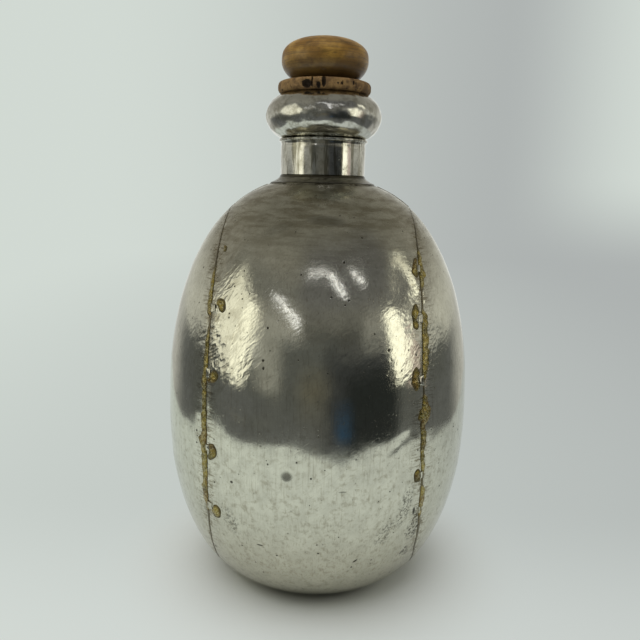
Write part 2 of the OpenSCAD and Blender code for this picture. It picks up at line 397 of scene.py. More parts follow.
class Recipe:
    """Builds one node tree."""

    def __init__(self, tree: bpy.types.NodeTree) -> None:
        """Empties a tree and starts afresh."""
        self.tree = tree
        tree.nodes.clear()

    def add(
        self,
        kind: str,
        settings: dict[str, object] | None = None,
        values: dict[str | int, object] | None = None,
    ) -> bpy.types.Node:
        """Adds a node.

        Args:
            kind: The node's type.
            settings: Properties of the node, which are set first.
            values: A number, a colour or a wire for each named or numbered input.

        Returns:
            The new node.
        """
        node = self.tree.nodes.new(kind)
        for name, value in (settings or {}).items():
            setattr(node, name, value)
        for name, value in (values or {}).items():
            if isinstance(value, Wire):
                self.tree.links.new(value.socket, node.inputs[name])
            elif isinstance(value, tuple) and node.inputs[name].type == "RGBA":
                node.inputs[name].default_value = (*value, 1.0)
            else:
                node.inputs[name].default_value = value
        return node

    def out(self, node: bpy.types.Node, socket: str | int = 0) -> Wire:
        """One output of a node, as a wire."""
        return Wire(self, node.outputs[socket])

    @staticmethod
    def material(name: str) -> tuple[bpy.types.Material, "Recipe"]:
        """A new material and the recipe for its nodes."""
        made = bpy.data.materials.new(name)
        made.use_nodes = True
        return made, Recipe(made.node_tree)

    def place(self, stretch: Colour = (1, 1, 1), turn: Colour = (0, 0, 0)) -> Wire:
        """Object coordinates in millimetres, finer along an axis by its stretch, turned by degrees."""
        source = self.out(self.add("ShaderNodeTexCoord"), "Object")
        values = {
            "Vector": source,
            "Scale": tuple(MM / s for s in stretch),
            "Rotation": tuple(math.radians(a) for a in turn),
        }
        return self.out(self.add("ShaderNodeMapping", {"vector_type": "TEXTURE"}, values))

    def along(self, axis: str) -> Wire:
        """One object coordinate in millimetres."""
        return self.out(self.add("ShaderNodeSeparateXYZ", {}, {0: self.place()}), axis)

    def height(self) -> Wire:
        """Height above the flask's base, in millimetres."""
        return self.along("Z")

    def around(self, along: float, up: float) -> Wire:
        """Coordinates round the flask's axis, in pattern sizes per radian and per millimetre up."""
        x, y, z = (self.along(axis) for axis in "XYZ")
        reach = ((x * x + y * y) ** 0.5).at_least(0.1)
        values = {"X": x / reach * along, "Y": y / reach * along, "Z": z * up}
        return self.out(self.add("ShaderNodeCombineXYZ", {}, values))

    def mark(self, centre: Vector, half: Colour, turn: float) -> Wire:
        """A soft oval, 1 inside it. Its half lengths are in metres, its turn about Y in degrees."""
        values = {
            "Vector": self.out(self.add("ShaderNodeTexCoord"), "Object"),
            "Location": tuple(centre),
            "Rotation": (0.0, math.radians(turn), 0.0),
            "Scale": half,
        }
        local = self.out(self.add("ShaderNodeMapping", {"vector_type": "TEXTURE"}, values))
        reach = self.add("ShaderNodeVectorMath", {"operation": "LENGTH"}, {0: local})
        return self.out(reach, "Value").ramp(1.0, 0.45)

    def grain(self, place: Wire, size: float, detail: float = 3.0, rough: float = 0.55) -> Wire:
        """Random waves of a size in millimetres, about 0.5 on average."""
        values = {"Vector": place, "Scale": 1 / size, "Detail": detail, "Roughness": rough}
        return self.out(self.add("ShaderNodeTexNoise", {}, values), 0)

    def dots(self, place: Wire, spacing: float, radius: float, share: float) -> Wire:
        """Scattered soft round dots. The share is how many of the places hold one."""
        node = self.add("ShaderNodeTexVoronoi", {}, {"Vector": place, "Scale": 1 / spacing})
        chance = self.out(self.add("ShaderNodeSeparateColor", {}, {0: self.out(node, "Color")}), 0)
        reach = chance.ramp(1 - share, 1.0) * (radius / spacing)
        return (1 - self.out(node, "Distance") / reach.at_least(0.001)).ramp(0.0, 0.6)

    def blend(self, first: Colour | Wire, second: Colour | Wire, share: Wire | float) -> Wire:
        """Colour between two colours: the first where the share is 0, the second where it is 1."""
        settings = {"data_type": "RGBA", "clamp_factor": True}
        node = self.add("ShaderNodeMix", settings, {0: share, 6: first, 7: second})
        return self.out(node, 2)

    def stored(self, name: str) -> Wire:
        """A number that was stored on the piece's points."""
        return self.out(self.add("ShaderNodeAttribute", {"attribute_name": name}), "Fac")

    def relief(self, height: Wire) -> Wire:
        """Normal of a surface raised by a height in millimetres."""
        values = {"Height": height, "Strength": 1.0, "Distance": MM}
        return self.out(self.add("ShaderNodeBump", {}, values))

    def surface(self, **values: object) -> None:
        """Ends a material in the main shader, with a value or wire for each named input."""
        names = {name.replace("_", " "): value for name, value in values.items()}
        self.end(self.out(self.add("ShaderNodeBsdfPrincipled", {}, names)))

    def plain(self, kind: str, colour: Colour | Wire) -> Wire:
        """A shader of one colour: BsdfDiffuse, Emission or Background."""
        return self.out(self.add("ShaderNode" + kind, {}, {"Color": colour}))

    def either(self, share: Wire, first: Wire, second: Wire) -> Wire:
        """Mix of two shaders, the first where the share is 0."""
        return self.out(self.add("ShaderNodeMixShader", {}, {0: share, 1: first, 2: second}))

    def end(self, shader: Wire, kind: str = "Material") -> None:
        """Joins a shader to the output of a material or a world."""
        self.add("ShaderNodeOutput" + kind, {}, {"Surface": shader})


class Finish:
    """A finish that can be made into a material once and given to many pieces."""

    made: dict["Finish", bpy.types.Material] = {}

    def mix(self, recipe: Recipe) -> None:
        """Builds the finish's nodes."""
        raise NotImplementedError

    def material(self) -> bpy.types.Material:
        """The finish's material, made at its first use."""
        if self not in Finish.made:
            Finish.made[self], recipe = Recipe.material(type(self).__name__)
            self.mix(recipe)
        return Finish.made[self]


@dataclass(frozen=True)
class DarkMark:
    """A small dark mark on the sheet: a pit, a nick, a hole beside a seam, or a painted reflection of
    the dark room in a dent.
    """

    place: tuple[float, float, float]
    half_width: float
    half_height: float
    turn: float = 0.0
    strength: float = 1.0
    broken: bool = False


@dataclass(frozen=True)
class WornSheet(Finish):
    """Raised sheet metal, polished by use, pitted, and stained on the shoulder and along the seams, with
    painted shade towards the base and a painted dark reflection in one dent.
    """

    clean: Colour = (0.77, 0.76, 0.64)
    grey: Colour = (0.61, 0.60, 0.505)
    # The patina's colour, which also darkens the lower sheet as painted shade
    patina_and_shade: Colour = (0.30, 0.27, 0.19)
    stain: Colour = (0.15, 0.115, 0.05)
    # Colour of the pits, and of the dark marks, one of which is a painted reflection
    pit: Colour = (0.045, 0.042, 0.03)
    patina_low: float = 138.0
    patina_high: float = 184.0
    polish: float = 0.07
    dark_marks: tuple[DarkMark, ...] = ()

    def _dark_mark_mask(self, recipe: Recipe) -> Wire:
        """Mask of the named marks, one of them a painted reflection."""
        crumbs = recipe.grain(recipe.place(), 1.5, 3.0, 0.8).ramp(0.49, 0.57)
        mask = crumbs * 0.0
        for mark in self.dark_marks:
            half = (mark.half_width, 3 * MM, mark.half_height)
            oval = recipe.mark(Vector(mark.place), half, mark.turn) * mark.strength
            mask = mask.at_least(oval * crumbs if mark.broken else oval)
        return mask

    def mix(self, recipe: Recipe) -> None:
        """Builds the nodes."""
        place = recipe.place()
        height = recipe.height()
        gap = recipe.stored("seam_gap")
        cloud = recipe.grain(place, 30.0, 4.0, 0.6)
        mottle = recipe.grain(place, 7.0, 7.0, 0.7)
        grain = recipe.grain(place, 1.1, 3.0, 0.6)
        speck = recipe.grain(place, 2.6, 4.0, 0.65)
        crinkle = recipe.grain(recipe.place((1.0, 1.0, 0.45), (0, 48, 0)), 3.2, 2.0, 0.5)
        brush = recipe.grain(recipe.place((1.5, 1.5, 0.05)), 1.0, 4.0, 0.65)
        rubs = recipe.grain(recipe.place((2.1, 2.1, 0.12), (0, 52, 0)), 1.0, 4.0, 0.7)
        wipes = recipe.grain(recipe.around(3.2, 0.42), 1.0, 5.0, 0.7)
        hatch = recipe.grain(recipe.place((0.17, 0.17, 1.5)), 1.0, 4.0, 0.7)
        near = gap.ramp(24.0, 2.0)
        left = recipe.along("X").ramp(10.0, -14.0) * recipe.along("X").ramp(-50.0, -43.0)
        wide = gap.ramp(36.0, 10.0) * height.ramp(158.0, 138.0) * (0.15 + left * 0.85)
        beside = gap.ramp(4.5, 0.3)
        upper = height.ramp(96.0, 118.0)
        foot = height.ramp(100.0, 62.0)
        pits = recipe.dots(place, 2.9, 0.65, 0.5)
        pits = pits * (mottle + near * 0.08 + foot * 0.02).ramp(0.48, 0.58)
        small_pits = recipe.dots(recipe.place((1, 1, 1), (20, 35, 10)), 1.7, 0.5, 0.5)
        pits_and_dark_reflection = pits.at_least(small_pits * (speck + near * 0.1).ramp(0.48, 0.66) * 0.8)
        pits_and_dark_reflection = pits_and_dark_reflection.at_least(self._dark_mark_mask(recipe))
        aged = height.ramp(self.patina_low, self.patina_high) * cloud.ramp(0.2, 0.52)
        stained = beside * (speck + beside * 0.06 + height.ramp(90.0, 160.0) * 0.06).ramp(0.5, 0.68)
        worn = mottle.ramp(0.34, 0.68)

        base = recipe.blend(self.clean, self.grey, worn * 0.8)
        dulled = brush.ramp(0.5, 0.74) * 0.4 + crinkle.ramp(0.5, 0.64) * near * left * upper * 0.5
        # Painted shade: below 70 mm the sheet is blended more and more to the patina's colour towards
        # the base, standing in for the shadowed floor it mirrors there.
        base = recipe.blend(base, self.patina_and_shade, dulled + height.ramp(70.0, 28.0) * 0.34)
        base = recipe.blend(base, self.patina_and_shade, speck.ramp(0.48, 0.72) * (0.18 + foot * 0.4))
        base = recipe.blend(base, self.patina_and_shade, aged * (0.4 + wipes.ramp(0.38, 0.62) * 0.6))
        base = recipe.blend(base, self.stain, rubs.ramp(0.57, 0.72) * (0.25 + near * 0.3))
        base = recipe.blend(base, self.stain, hatch.ramp(0.51, 0.62) * gap.ramp(9.0, 2.0) * 0.7)
        base = recipe.blend(base, self.stain, stained * 0.6)
        # Pits and dark marks take the pit colour; one mark is a painted reflection of the dark room in a
        # dent.
        base = recipe.blend(base, self.pit, pits_and_dark_reflection * 0.93)
        rough = self.polish + worn * 0.05 + aged * 0.2 + stained * 0.2 + pits_and_dark_reflection * 0.3
        rough = rough + (brush - 0.5) * 0.1 + near * 0.02 + foot * 0.05
        folds = 1 - abs(crinkle - 0.5) * 3.2
        slack = near * near * (0.05 + left * 0.03) + wide * 0.095 + 0.02
        waves = (folds + grain * 0.06) * slack * upper
        relief = waves + speck * 0.013 + grain * 0.006 + brush * 0.016 - rubs.ramp(0.6, 0.8) * 0.012
        relief = relief + wipes * aged * 0.05 - pits_and_dark_reflection * 0.03
        recipe.surface(
            Base_Color=base,
            Metallic=1 - stained * 0.3,
            Roughness=rough.at_least(0.05),
            Normal=recipe.relief(relief),
        )


@dataclass(frozen=True)
class NeckMetal(Finish):
    """Brighter metal of the neck's rings, with soft tarnish and hairline rubs."""

    clean: Colour = (0.70, 0.69, 0.62)
    tarnish: Colour = (0.25, 0.235, 0.17)
    grime: Colour = (0.06, 0.05, 0.03)
    polish: float = 0.06

    def mix(self, recipe: Recipe) -> None:
        """Builds the nodes."""
        place = recipe.place()
        mottle = recipe.grain(place, 5.0, 6.0, 0.7)
        grain = recipe.grain(place, 0.9, 3.0)
        rubs = recipe.grain(recipe.place((2.2, 2.2, 0.25)), 1.0, 4.0, 0.7)
        streaks = recipe.grain(recipe.place((0.5, 0.5, 0.06)), 1.0, 3.0, 0.6)
        dull = mottle.ramp(0.42, 0.66)
        bulb = recipe.height().ramp(206.5, 209.0)
        pits = recipe.dots(place, 1.9, 0.4, 0.4)
        streaked = streaks.ramp(0.48, 0.6) * 0.85 * (1 - bulb)
        base = recipe.blend(self.clean, self.tarnish, (dull * 0.6).at_least(streaked))
        base = recipe.blend(base, self.grime, rubs.ramp(0.6, 0.76) * 0.35)
        base = recipe.blend(base, self.grime, pits * 0.85)
        recipe.surface(
            Base_Color=base,
            Metallic=1.0,
            Roughness=self.polish + bulb * 0.07 + dull * 0.1 + pits * 0.3 + (rubs - 0.5) * 0.1,
            Normal=recipe.relief(grain * 0.012 + rubs * 0.008 + mottle * 0.03 - pits * 0.03),
        )


@dataclass(frozen=True)
class FootMetal(Finish):
    """Dull metal of the foot ring, with dark wipes and mottling, darker just under the collar and at its
    low edge.
    """

    clean: Colour = (0.33, 0.315, 0.25)
    dirt: Colour = (0.05, 0.044, 0.025)

    def mix(self, recipe: Recipe) -> None:
        """Builds the nodes."""
        place = recipe.place()
        wipes = recipe.grain(recipe.around(6.0, 1.4), 1.0, 5.0, 0.7)
        mottle = recipe.grain(place, 2.6, 5.0, 0.65)
        base = recipe.blend(self.clean, self.dirt, wipes.ramp(0.46, 0.68) * 0.7)
        base = recipe.blend(base, self.dirt, mottle.ramp(0.52, 0.7) * 0.7)
        # Darker just under the collar and at the foot's low edge.
        base = recipe.blend(base, self.dirt, recipe.height().ramp(188.7, 189.5) * 0.9)
        base = recipe.blend(base, self.dirt, recipe.height().ramp(187.3, 186.9) * 0.8)
        recipe.surface(
            Base_Color=base,
            Metallic=0.95,
            Roughness=0.22 + mottle * 0.2,
            Normal=recipe.relief(wipes * 0.08 + mottle * 0.12),
        )


@dataclass(frozen=True)
class StainedBraze(Finish):
    """Brass that ran along the seam: golden, with a painted highlight on the crowns, dark with flux at
    the rims.
    """

    gold: Colour = (0.30, 0.23, 0.05)
    # Paler brass: partly its own tone at random, partly a painted highlight on the crowns
    pale: Colour = (0.70, 0.62, 0.33)
    olive: Colour = (0.13, 0.108, 0.03)
    rust: Colour = (0.17, 0.092, 0.034)
    dark: Colour = (0.06, 0.045, 0.018)
    greyed: Colour = (0.13, 0.115, 0.08)

    def mix(self, recipe: Recipe) -> None:
        """Builds the nodes."""
        place = recipe.place()
        rim = recipe.stored("rim")
        thin = recipe.stored("thin")
        mottle = recipe.grain(place, 3.2, 5.0, 0.7)
        ticks = recipe.grain(recipe.place((0.35, 0.35, 0.9)), 1.0, 3.0, 0.6)
        grain = recipe.grain(place, 0.8, 3.0)
        grime = rim.ramp(0.62, 0.96) * 0.85 + mottle.ramp(0.52, 0.66) * 0.6
        grime = ((grime + ticks.ramp(0.56, 0.7) * 0.5) * (1 - thin * 0.4)).at_most(1.0)
        base = recipe.blend(self.gold, self.olive, mottle.ramp(0.4, 0.56))
        base = recipe.blend(base, self.rust, recipe.grain(place, 11.0, 3.0).ramp(0.5, 0.64) * 0.55)
        # Painted highlight: paler towards the crowns, away from the rims, broken up by fine grain.
        base = recipe.blend(base, self.pale, (grain - rim * 0.16).ramp(0.4, 0.58) * 0.55)
        base = recipe.blend(base, self.greyed, thin * 0.85)
        base = recipe.blend(base, self.dark, grime * 0.85)
        recipe.surface(
            Base_Color=base,
            Metallic=0.85 - grime * 0.45,
            Roughness=0.16 + grime * 0.3 + (grain - 0.5) * 0.12,
            Normal=recipe.relief(mottle * 0.3 + grain * 0.04),
        )


@dataclass(frozen=True)
class DullSolder(Finish):
    """Grey solder with dirt in its hollows."""

    grey: Colour = (0.30, 0.285, 0.22)
    dirt: Colour = (0.06, 0.05, 0.03)

    def mix(self, recipe: Recipe) -> None:
        """Builds the nodes."""
        place = recipe.place()
        mottle = recipe.grain(place, 2.2, 4.0, 0.6)
        recipe.surface(
            Base_Color=recipe.blend(self.grey, self.dirt, mottle.ramp(0.45, 0.62)),
            Metallic=0.9,
            Roughness=0.3 + mottle * 0.3,
            Normal=recipe.relief(mottle * 0.16),
        )


@dataclass(frozen=True)
class TurnedWood(Finish):
    """Oiled wood with lathe lines, darker in smears and spots where hands and damp have worked on it,
    and with painted shade on the lower part of the knob.
    """

    light: Colour = (0.42, 0.23, 0.03)
    middle: Colour = (0.225, 0.108, 0.009)
    dark: Colour = (0.035, 0.02, 0.006)

    def mix(self, recipe: Recipe) -> None:
        """Builds the nodes."""
        place = recipe.place()
        lathe = recipe.grain(recipe.place((0.05, 0.05, 2.2)), 1.0, 4.0, 0.65)
        fibre = recipe.grain(recipe.place((0.14, 1.3, 1.3), (0, 0, 25)), 1.0, 5.0, 0.65)
        cloud = recipe.grain(place, 12.0, 5.0, 0.6)
        smear = recipe.grain(recipe.place((0.22, 0.22, 0.5)), 1.0, 4.0, 0.6)
        spots = recipe.dots(place, 6.0, 0.9, 0.2)
        # Painted shade: the knob darkens from 243 mm down to 232 mm.
        low = recipe.height().ramp(243.0, 232.0)
        base = recipe.blend(self.middle, self.light, cloud.ramp(0.42, 0.62))
        base = recipe.blend(base, self.dark, lathe.ramp(0.45, 0.7) * 0.6)
        base = recipe.blend(base, self.dark, fibre.ramp(0.52, 0.76) * 0.5)
        base = recipe.blend(base, self.dark, smear.ramp(0.52, 0.68) * 0.4)
        # Dark spots, and the painted shade on the lower part.
        base = recipe.blend(base, self.dark, (spots * 0.85).at_least(low * 0.85))
        recipe.surface(
            Base_Color=base,
            Roughness=0.3 + cloud * 0.2 + fibre * 0.1,
            Coat_Weight=cloud.ramp(0.3, 0.6) * 0.4,
            Coat_Roughness=0.2,
            Normal=recipe.relief(lathe * 0.08 + fibre * 0.06 - spots * 0.15),
        )


@dataclass(frozen=True)
class OldCork(Finish):
    """Cork, browned on its face, with dark pores, and with painted shade in its cracks, voids and pits.
    """

    tan: Colour = (0.31, 0.185, 0.068)
    brown: Colour = (0.13, 0.072, 0.026)
    pore_and_void_shade: Colour = (0.02, 0.012, 0.006)

    def mix(self, recipe: Recipe) -> None:
        """Builds the nodes."""
        place = recipe.place()
        cloud = recipe.grain(place, 5.0, 5.0, 0.65)
        grain = recipe.grain(place, 0.9, 3.0)
        streak = recipe.grain(recipe.place((0.7, 0.7, 0.16)), 1.0, 4.0, 0.65)
        pores = recipe.dots(place, 2.0, 0.6, 0.5).at_least(streak.ramp(0.62, 0.7))
        hollow = recipe.stored("hollow")
        # Painted shade: the voids and pits stored as hollow are darkened like the pores.
        dark = pores.at_least((hollow + (grain + cloud - 1) * 0.9).ramp(0.3, 0.5))
        base = recipe.blend(self.tan, self.brown, cloud.ramp(0.38, 0.62))
        base = recipe.blend(base, self.brown, grain.ramp(0.48, 0.72) * 0.6)
        base = recipe.blend(base, self.pore_and_void_shade, dark * 0.93)
        recipe.surface(
            Base_Color=base,
            Roughness=0.66 + grain * 0.2,
            Normal=recipe.relief(cloud * 0.4 + grain * 0.16 - pores * 0.4),
        )


@dataclass(frozen=True)
class Dent:
    """A knock in the sheet, or a bulge where its depth is negative."""

    x: float
    z: float
    half_width: float
    half_height: float
    depth: float
    turn: float = 0.0
    face: Face = Face.FRONT

    def depth_at(self, point: Vector) -> float:
        """How far the sheet is pushed in at a point by this dent."""
        if point.y * self.face.value < 0:
            return 0.0
        angle = math.radians(self.turn)
        side, up = point.x - self.x, point.z - self.z
        across = (side * math.cos(angle) + up * math.sin(angle)) / self.half_width
        along = (up * math.cos(angle) - side * math.sin(angle)) / self.half_height
        return self.depth * math.exp(-(across * across + along * along) * 1.4)


@dataclass
class BodyForm:
    """The body's outer surface: the curve of the solids, with the marks of the hammer in it."""

    belly_r: float
    belly_z: float = 80.5 * MM
    crown_rise: float = 108.9 * MM
    base_cut: float = 4 * MM
    sheet: float = 1.2 * MM
    neck_r: float = 18.5 * MM
    shoulder_powers: tuple[float, float] = (2.18, 2.54)
    lower_powers: tuple[float, float] = (1.98, 3.6)
    seam_half: float = 45.6 * MM
    seam_bow: float = 5.5 * MM
    dents: tuple[Dent, ...] = ()
    waves: tuple[tuple[float, float, float], ...] = (
        (0.15 * MM, 31 * MM, 0.0), (0.075 * MM, 12 * MM, 5.0)
    )
    blow_size: float = 7.5 * MM
    lump_size: float = 4.2 * MM
    base_calm: tuple[float, float] = (2 * MM, 16 * MM)
    ring_calm: tuple[float, float] = (25.5 * MM, 31 * MM)
    seam_reach: float = 10 * MM
    seam_roll: float = 0.1 * MM
    belly_ease: float = 0.24 * MM
    row_fine: float = 0.22 * MM
    row_coarse: float = 1.15 * MM
    row_growth: float = 0.2
    profile_steps: int = 700
    lengths: list[float] = field(default_factory=list)
    outline: list[tuple[float, float]] = field(default_factory=list)

    def __post_init__(self) -> None:
        """Lays out the profile from the middle of the base to the neck, with its lengths."""
        base_r = self.radius_at(0.0)
        crown_z = self.height_at(self.neck_r)
        self.outline = [(0.0, 0.0), (base_r, 0.0)]
        for step in range(1, self.profile_steps + 1):
            angle = math.pi * step / self.profile_steps
            z = crown_z * (1 - math.cos(angle)) / 2
            self.outline.append((self.radius_at(z), z))
        self.lengths = [0.0]
        for (r0, z0), (r1, z1) in zip(self.outline, self.outline[1:]):
            self.lengths.append(self.lengths[-1] + math.hypot(r1 - r0, z1 - z0))

    def _half(self, z: float) -> tuple[float, float, float]:
        """Rise and exponents of the half of the profile that holds a height."""
        if z >= self.belly_z:
            return (self.crown_rise, *self.shoulder_powers)
        return (self.belly_z + self.base_cut, *self.lower_powers)

    def radius_at(self, z: float) -> float:
        """Radius of the body at a height."""
        rise, rise_power, reach_power = self._half(z)
        share = min(abs(z - self.belly_z) / rise, 1.0)
        return self.belly_r * (1 - share**rise_power) ** (1 / reach_power)

    def height_at(self, radius: float) -> float:
        """Height of the shoulder at a radius."""
        rise_power, reach_power = self.shoulder_powers
        share = (1 - (radius / self.belly_r) ** reach_power) ** (1 / rise_power)
        return self.belly_z + self.crown_rise * share

    def normal(self, point: Vector) -> Vector:
        """Direction straight off the body at a point on it."""
        if point.z < 0.01 * MM:
            return Vector((0, 0, -1))
        rise, rise_power, reach_power = self._half(point.z)
        radius = max(from_axis(point), 0.001 * MM)
        share = min(abs(point.z - self.belly_z) / rise, 1.0)
        out = reach_power / self.belly_r * (radius / self.belly_r) ** (reach_power - 1)
        up = math.copysign(rise_power / rise * share ** (rise_power - 1), point.z - self.belly_z)
        return Vector((point.x / radius * out, point.y / radius * out, up)).normalized()

    def at(self, length: float) -> tuple[float, float]:
        """Radius and height at a length along the profile, from the middle of the base."""
        length = min(max(length, 0.0), self.lengths[-1])
        last = min(max(bisect.bisect_right(self.lengths, length), 1), len(self.lengths) - 1)
        start, end = self.lengths[last - 1], self.lengths[last]
        share = (length - start) / (end - start)
        (r0, z0), (r1, z1) = self.outline[last - 1], self.outline[last]
        return r0 + (r1 - r0) * share, z0 + (z1 - z0) * share

    def length_at(self, z: float) -> float:
        """Length along the profile at a height above the base."""
        heights = [point[1] for point in self.outline]
        last = min(max(bisect.bisect_right(heights, z), 2), len(heights) - 1)
        share = (z - heights[last - 1]) / max(heights[last] - heights[last - 1], 1e-9)
        return self.lengths[last - 1] + (self.lengths[last] - self.lengths[last - 1]) * share

    def rows(self, start: float, stop: float, tight: Sequence[float]) -> list[float]:
        """Lengths along the profile for a grid's rows, which lie closer round the tight lengths."""
        rows = [start]
        while rows[-1] < stop - self.row_coarse / 2:
            nearest = min(abs(rows[-1] - length) for length in tight)
            step = min(max(nearest * self.row_growth, self.row_fine), self.row_coarse)
            rows.append(rows[-1] + step)
        rows[-1] = stop
        return rows

    def sink(self, point: Vector, gap: float) -> float:
        """How far the hammered sheet lies inside the true curve.

        Args:
            point: A point on the true curve.
            gap: Its distance from the nearest seam.

        Returns:
            A distance. It is below 0 where the sheet stands out, which it never does at the belly.
        """
        radius = from_axis(point)
        calm = smoothstep(point.z, *self.base_calm)
        calm *= smoothstep(radius, *self.ring_calm) if point.z > self.belly_z else 1.0
        near = math.exp(-((gap / self.seam_reach) ** 2))
        waves = sum(depth * ripple(point, length, seed) for depth, length, seed in self.waves)
        blows = (hammer_marks(point, self.blow_size) - 0.4) * (0.02 + 0.10 * near) * MM
        lumps = 0.09 * MM * near * ripple(point, self.lump_size, 9.0)
        knocks = sum(dent.depth_at(point) for dent in self.dents)
        roll = self.seam_roll * math.exp(-((gap / (0.7 * MM)) ** 2))
        belly = smoothstep(radius, self.belly_r - 1.4 * MM, self.belly_r - 0.3 * MM)
        return (waves + blows + lumps + knocks) * calm + roll + self.belly_ease * belly


@dataclass(frozen=True)
class SeamLine:
    """The line of one side seam, which wanders a little from the drawn one."""

    form: BodyForm
    side: Side
    shifts: tuple[tuple[float, float], ...]
    joint: float = 0.16 * MM

    def x(self, z: float) -> float:
        """Distance of the seam from the flask's middle plane at a height."""
        form = self.form
        bow = form.seam_bow * ((z - form.belly_z) / form.crown_rise) ** 2
        return form.seam_half - bow - eased(self.shifts, z)

    def tip(self, top: bool, gap: float = 0.0) -> float:
        """Height at which the seam, or a line outside it by a gap, crosses the side plane."""
        belly_z, crown_z = self.form.belly_z, self.form.outline[-1][1]
        low, high = (belly_z, crown_z) if top else (0.0, belly_z)
        for _ in range(40):
            middle = (low + high) / 2
            inside = self.form.radius_at(middle) > self.x(middle) + gap
            low, high = (middle, high) if inside == top else (low, middle)
        return (low + high) / 2

    def gap(self, point: Vector) -> float:
        """Distance of a point on the body from this seam."""
        radius = from_axis(point)
        seam = min(self.x(point.z) / max(radius, MM), 1.0)
        own = min(max(self.side.value * point.x / max(radius, MM), -1.0), 1.0)
        return radius * abs(math.asin(seam) - math.asin(own))

    def on_oval(self, angle: float) -> Vector:
        """Point of the seam in a direction from its oval's middle, from +Y towards +Z."""
        low, high = 0.0, 2 * self.form.belly_z
        centre = (self.tip(True) + self.tip(False)) / 2
        for _ in range(34):
            reach = (low + high) / 2
            y, z = reach * math.cos(angle), centre + reach * math.sin(angle)
            span = self.form.radius_at(z) ** 2 - self.x(z) ** 2 if z > 0 else -1.0
            inside = span > y * y
            low, high = (reach, high) if inside else (low, reach)
        return Vector((self.side.value * self.x(z), y, z))

    def laid(self, face: Face, height: float, flat: Vector) -> Vector:
        """Bends a flat frame's point over the body beside the seam, round a height."""
        radius, z = self.form.at(self.form.length_at(height) + flat.y)
        angle = math.asin(min(self.x(z) / radius, 1.0)) - flat.x / radius
        point = Vector(
            (self.side.value * radius * math.sin(angle), face.value * radius * math.cos(angle), z)
        )
        sunk = self.form.sink(point, max(abs(flat.x), 1.5 * MM))
        return point + self.form.normal(point) * (flat.z - sunk)


@dataclass
class BodyShell:
    """The two panels of the band and the two domed caps."""

    form: BodyForm
    lines: dict[Side, SeamLine]
    columns: int = 132
    cap_columns: int = 76
    centre_gap: float = 1.2 * MM
    farthest: float = 60.0
    middle: Vector = field(default_factory=lambda: Vector((0, 0, 80 * MM)))

    def gap(self, point: Vector) -> float:
        """Distance of a point from the nearer side seam."""
        return min(line.gap(point) for line in self.lines.values())

    def pressed(self, point: Vector) -> Vector:
        """A point of the true curve moved to the hammered sheet."""
        return point - self.form.normal(point) * self.form.sink(point, self.gap(point))

    def _raised(
        self, name: str, columns: int, rows: int, place: Callable[[float, float], Vector]
    ) -> Piece:
        """Raises one sheet, notes its points' distances from the seams and gives it its wall.

        Args:
            name: Name of the new piece.
            columns: Number of faces across.
            rows: Number of faces up.
            place: Gives the place of a grid point from its shares across and up.

        Returns:
            The sheet, not yet smoothed.
        """
        sheet = Bench.wrapped_sheet(name, columns, rows, place)
        Bench.face_away(sheet, self.middle)
        Bench.measure(sheet, "seam_gap", lambda point: min(self.gap(point) / MM, self.farthest))
        Bench.thicken(sheet, self.form.sheet)
        return sheet

    def panel(self, face: Face, name: str) -> Piece:
        """Raises the front or the back panel, with its wall."""
        form = self.form
        tips = [line.tip(top, 0) for line in self.lines.values() for top in (False, True)]
        tight = [form.length_at(z) for z in tips] + [form.lengths[1]]
        rows = form.rows(self.centre_gap, form.lengths[-1], tight)

        def place(across: float, up: float) -> Vector:
            """Point of the panel from its shares across and up."""
            radius, z = form.at(rows[round(up * (len(rows) - 1))])
            ends = []
            for side in (Side.LEFT, Side.RIGHT):
                line = self.lines[side]
                reach = (line.x(z) - line.joint / 2) / radius
                middle_gap = math.acos(min(line.joint / 2 / radius, 1.0))
                ends.append(side.value * min(math.asin(min(reach, 1.0)), middle_gap))
            angle = ends[0] + (ends[1] - ends[0]) * across
            return self.pressed(
                Vector((radius * math.sin(angle), face.value * radius * math.cos(angle), z))
            )

        return Bench.smooth(self._raised(name, self.columns, len(rows) - 1, place))

    def cap(self, side: Side, name: str) -> Piece:
        """Raises one domed cap, with its wall and without its cramps."""
        form, line = self.form, self.lines[side]
        low, high = (form.length_at(line.tip(top, line.joint / 2)) for top in (False, True))
        rows = form.rows(low, high, (low, high))

        def place(across: float, up: float) -> Vector:
            """Point of the cap from its shares across and up."""
            row = round(up * (len(rows) - 1))
            radius, z = form.at(rows[row])
            reach = min((line.x(z) + line.joint / 2) / radius, 1.0)
            half = math.acos(reach) if 0 < row < len(rows) - 1 else 0.0
            angle = half * (2 * across - 1)
            return self.pressed(
                Vector((side.value * radius * math.cos(angle), radius * math.sin(angle), z))
            )

        return self._raised(name, self.cap_columns, len(rows) - 1, place)


@dataclass(frozen=True)
class Cramp:
    """A tongue of a cap that laps a panel, with the brass round its tip.

    Across is measured from the panel's edge towards the middle of the panel, and up along the seam.
    """

    height: float
    tip: float
    tall: float
    spot: Vector | None = None
    spot_half: Vector | None = None
    spot_lean: float = 0.0
    thick: float = 0.7 * MM


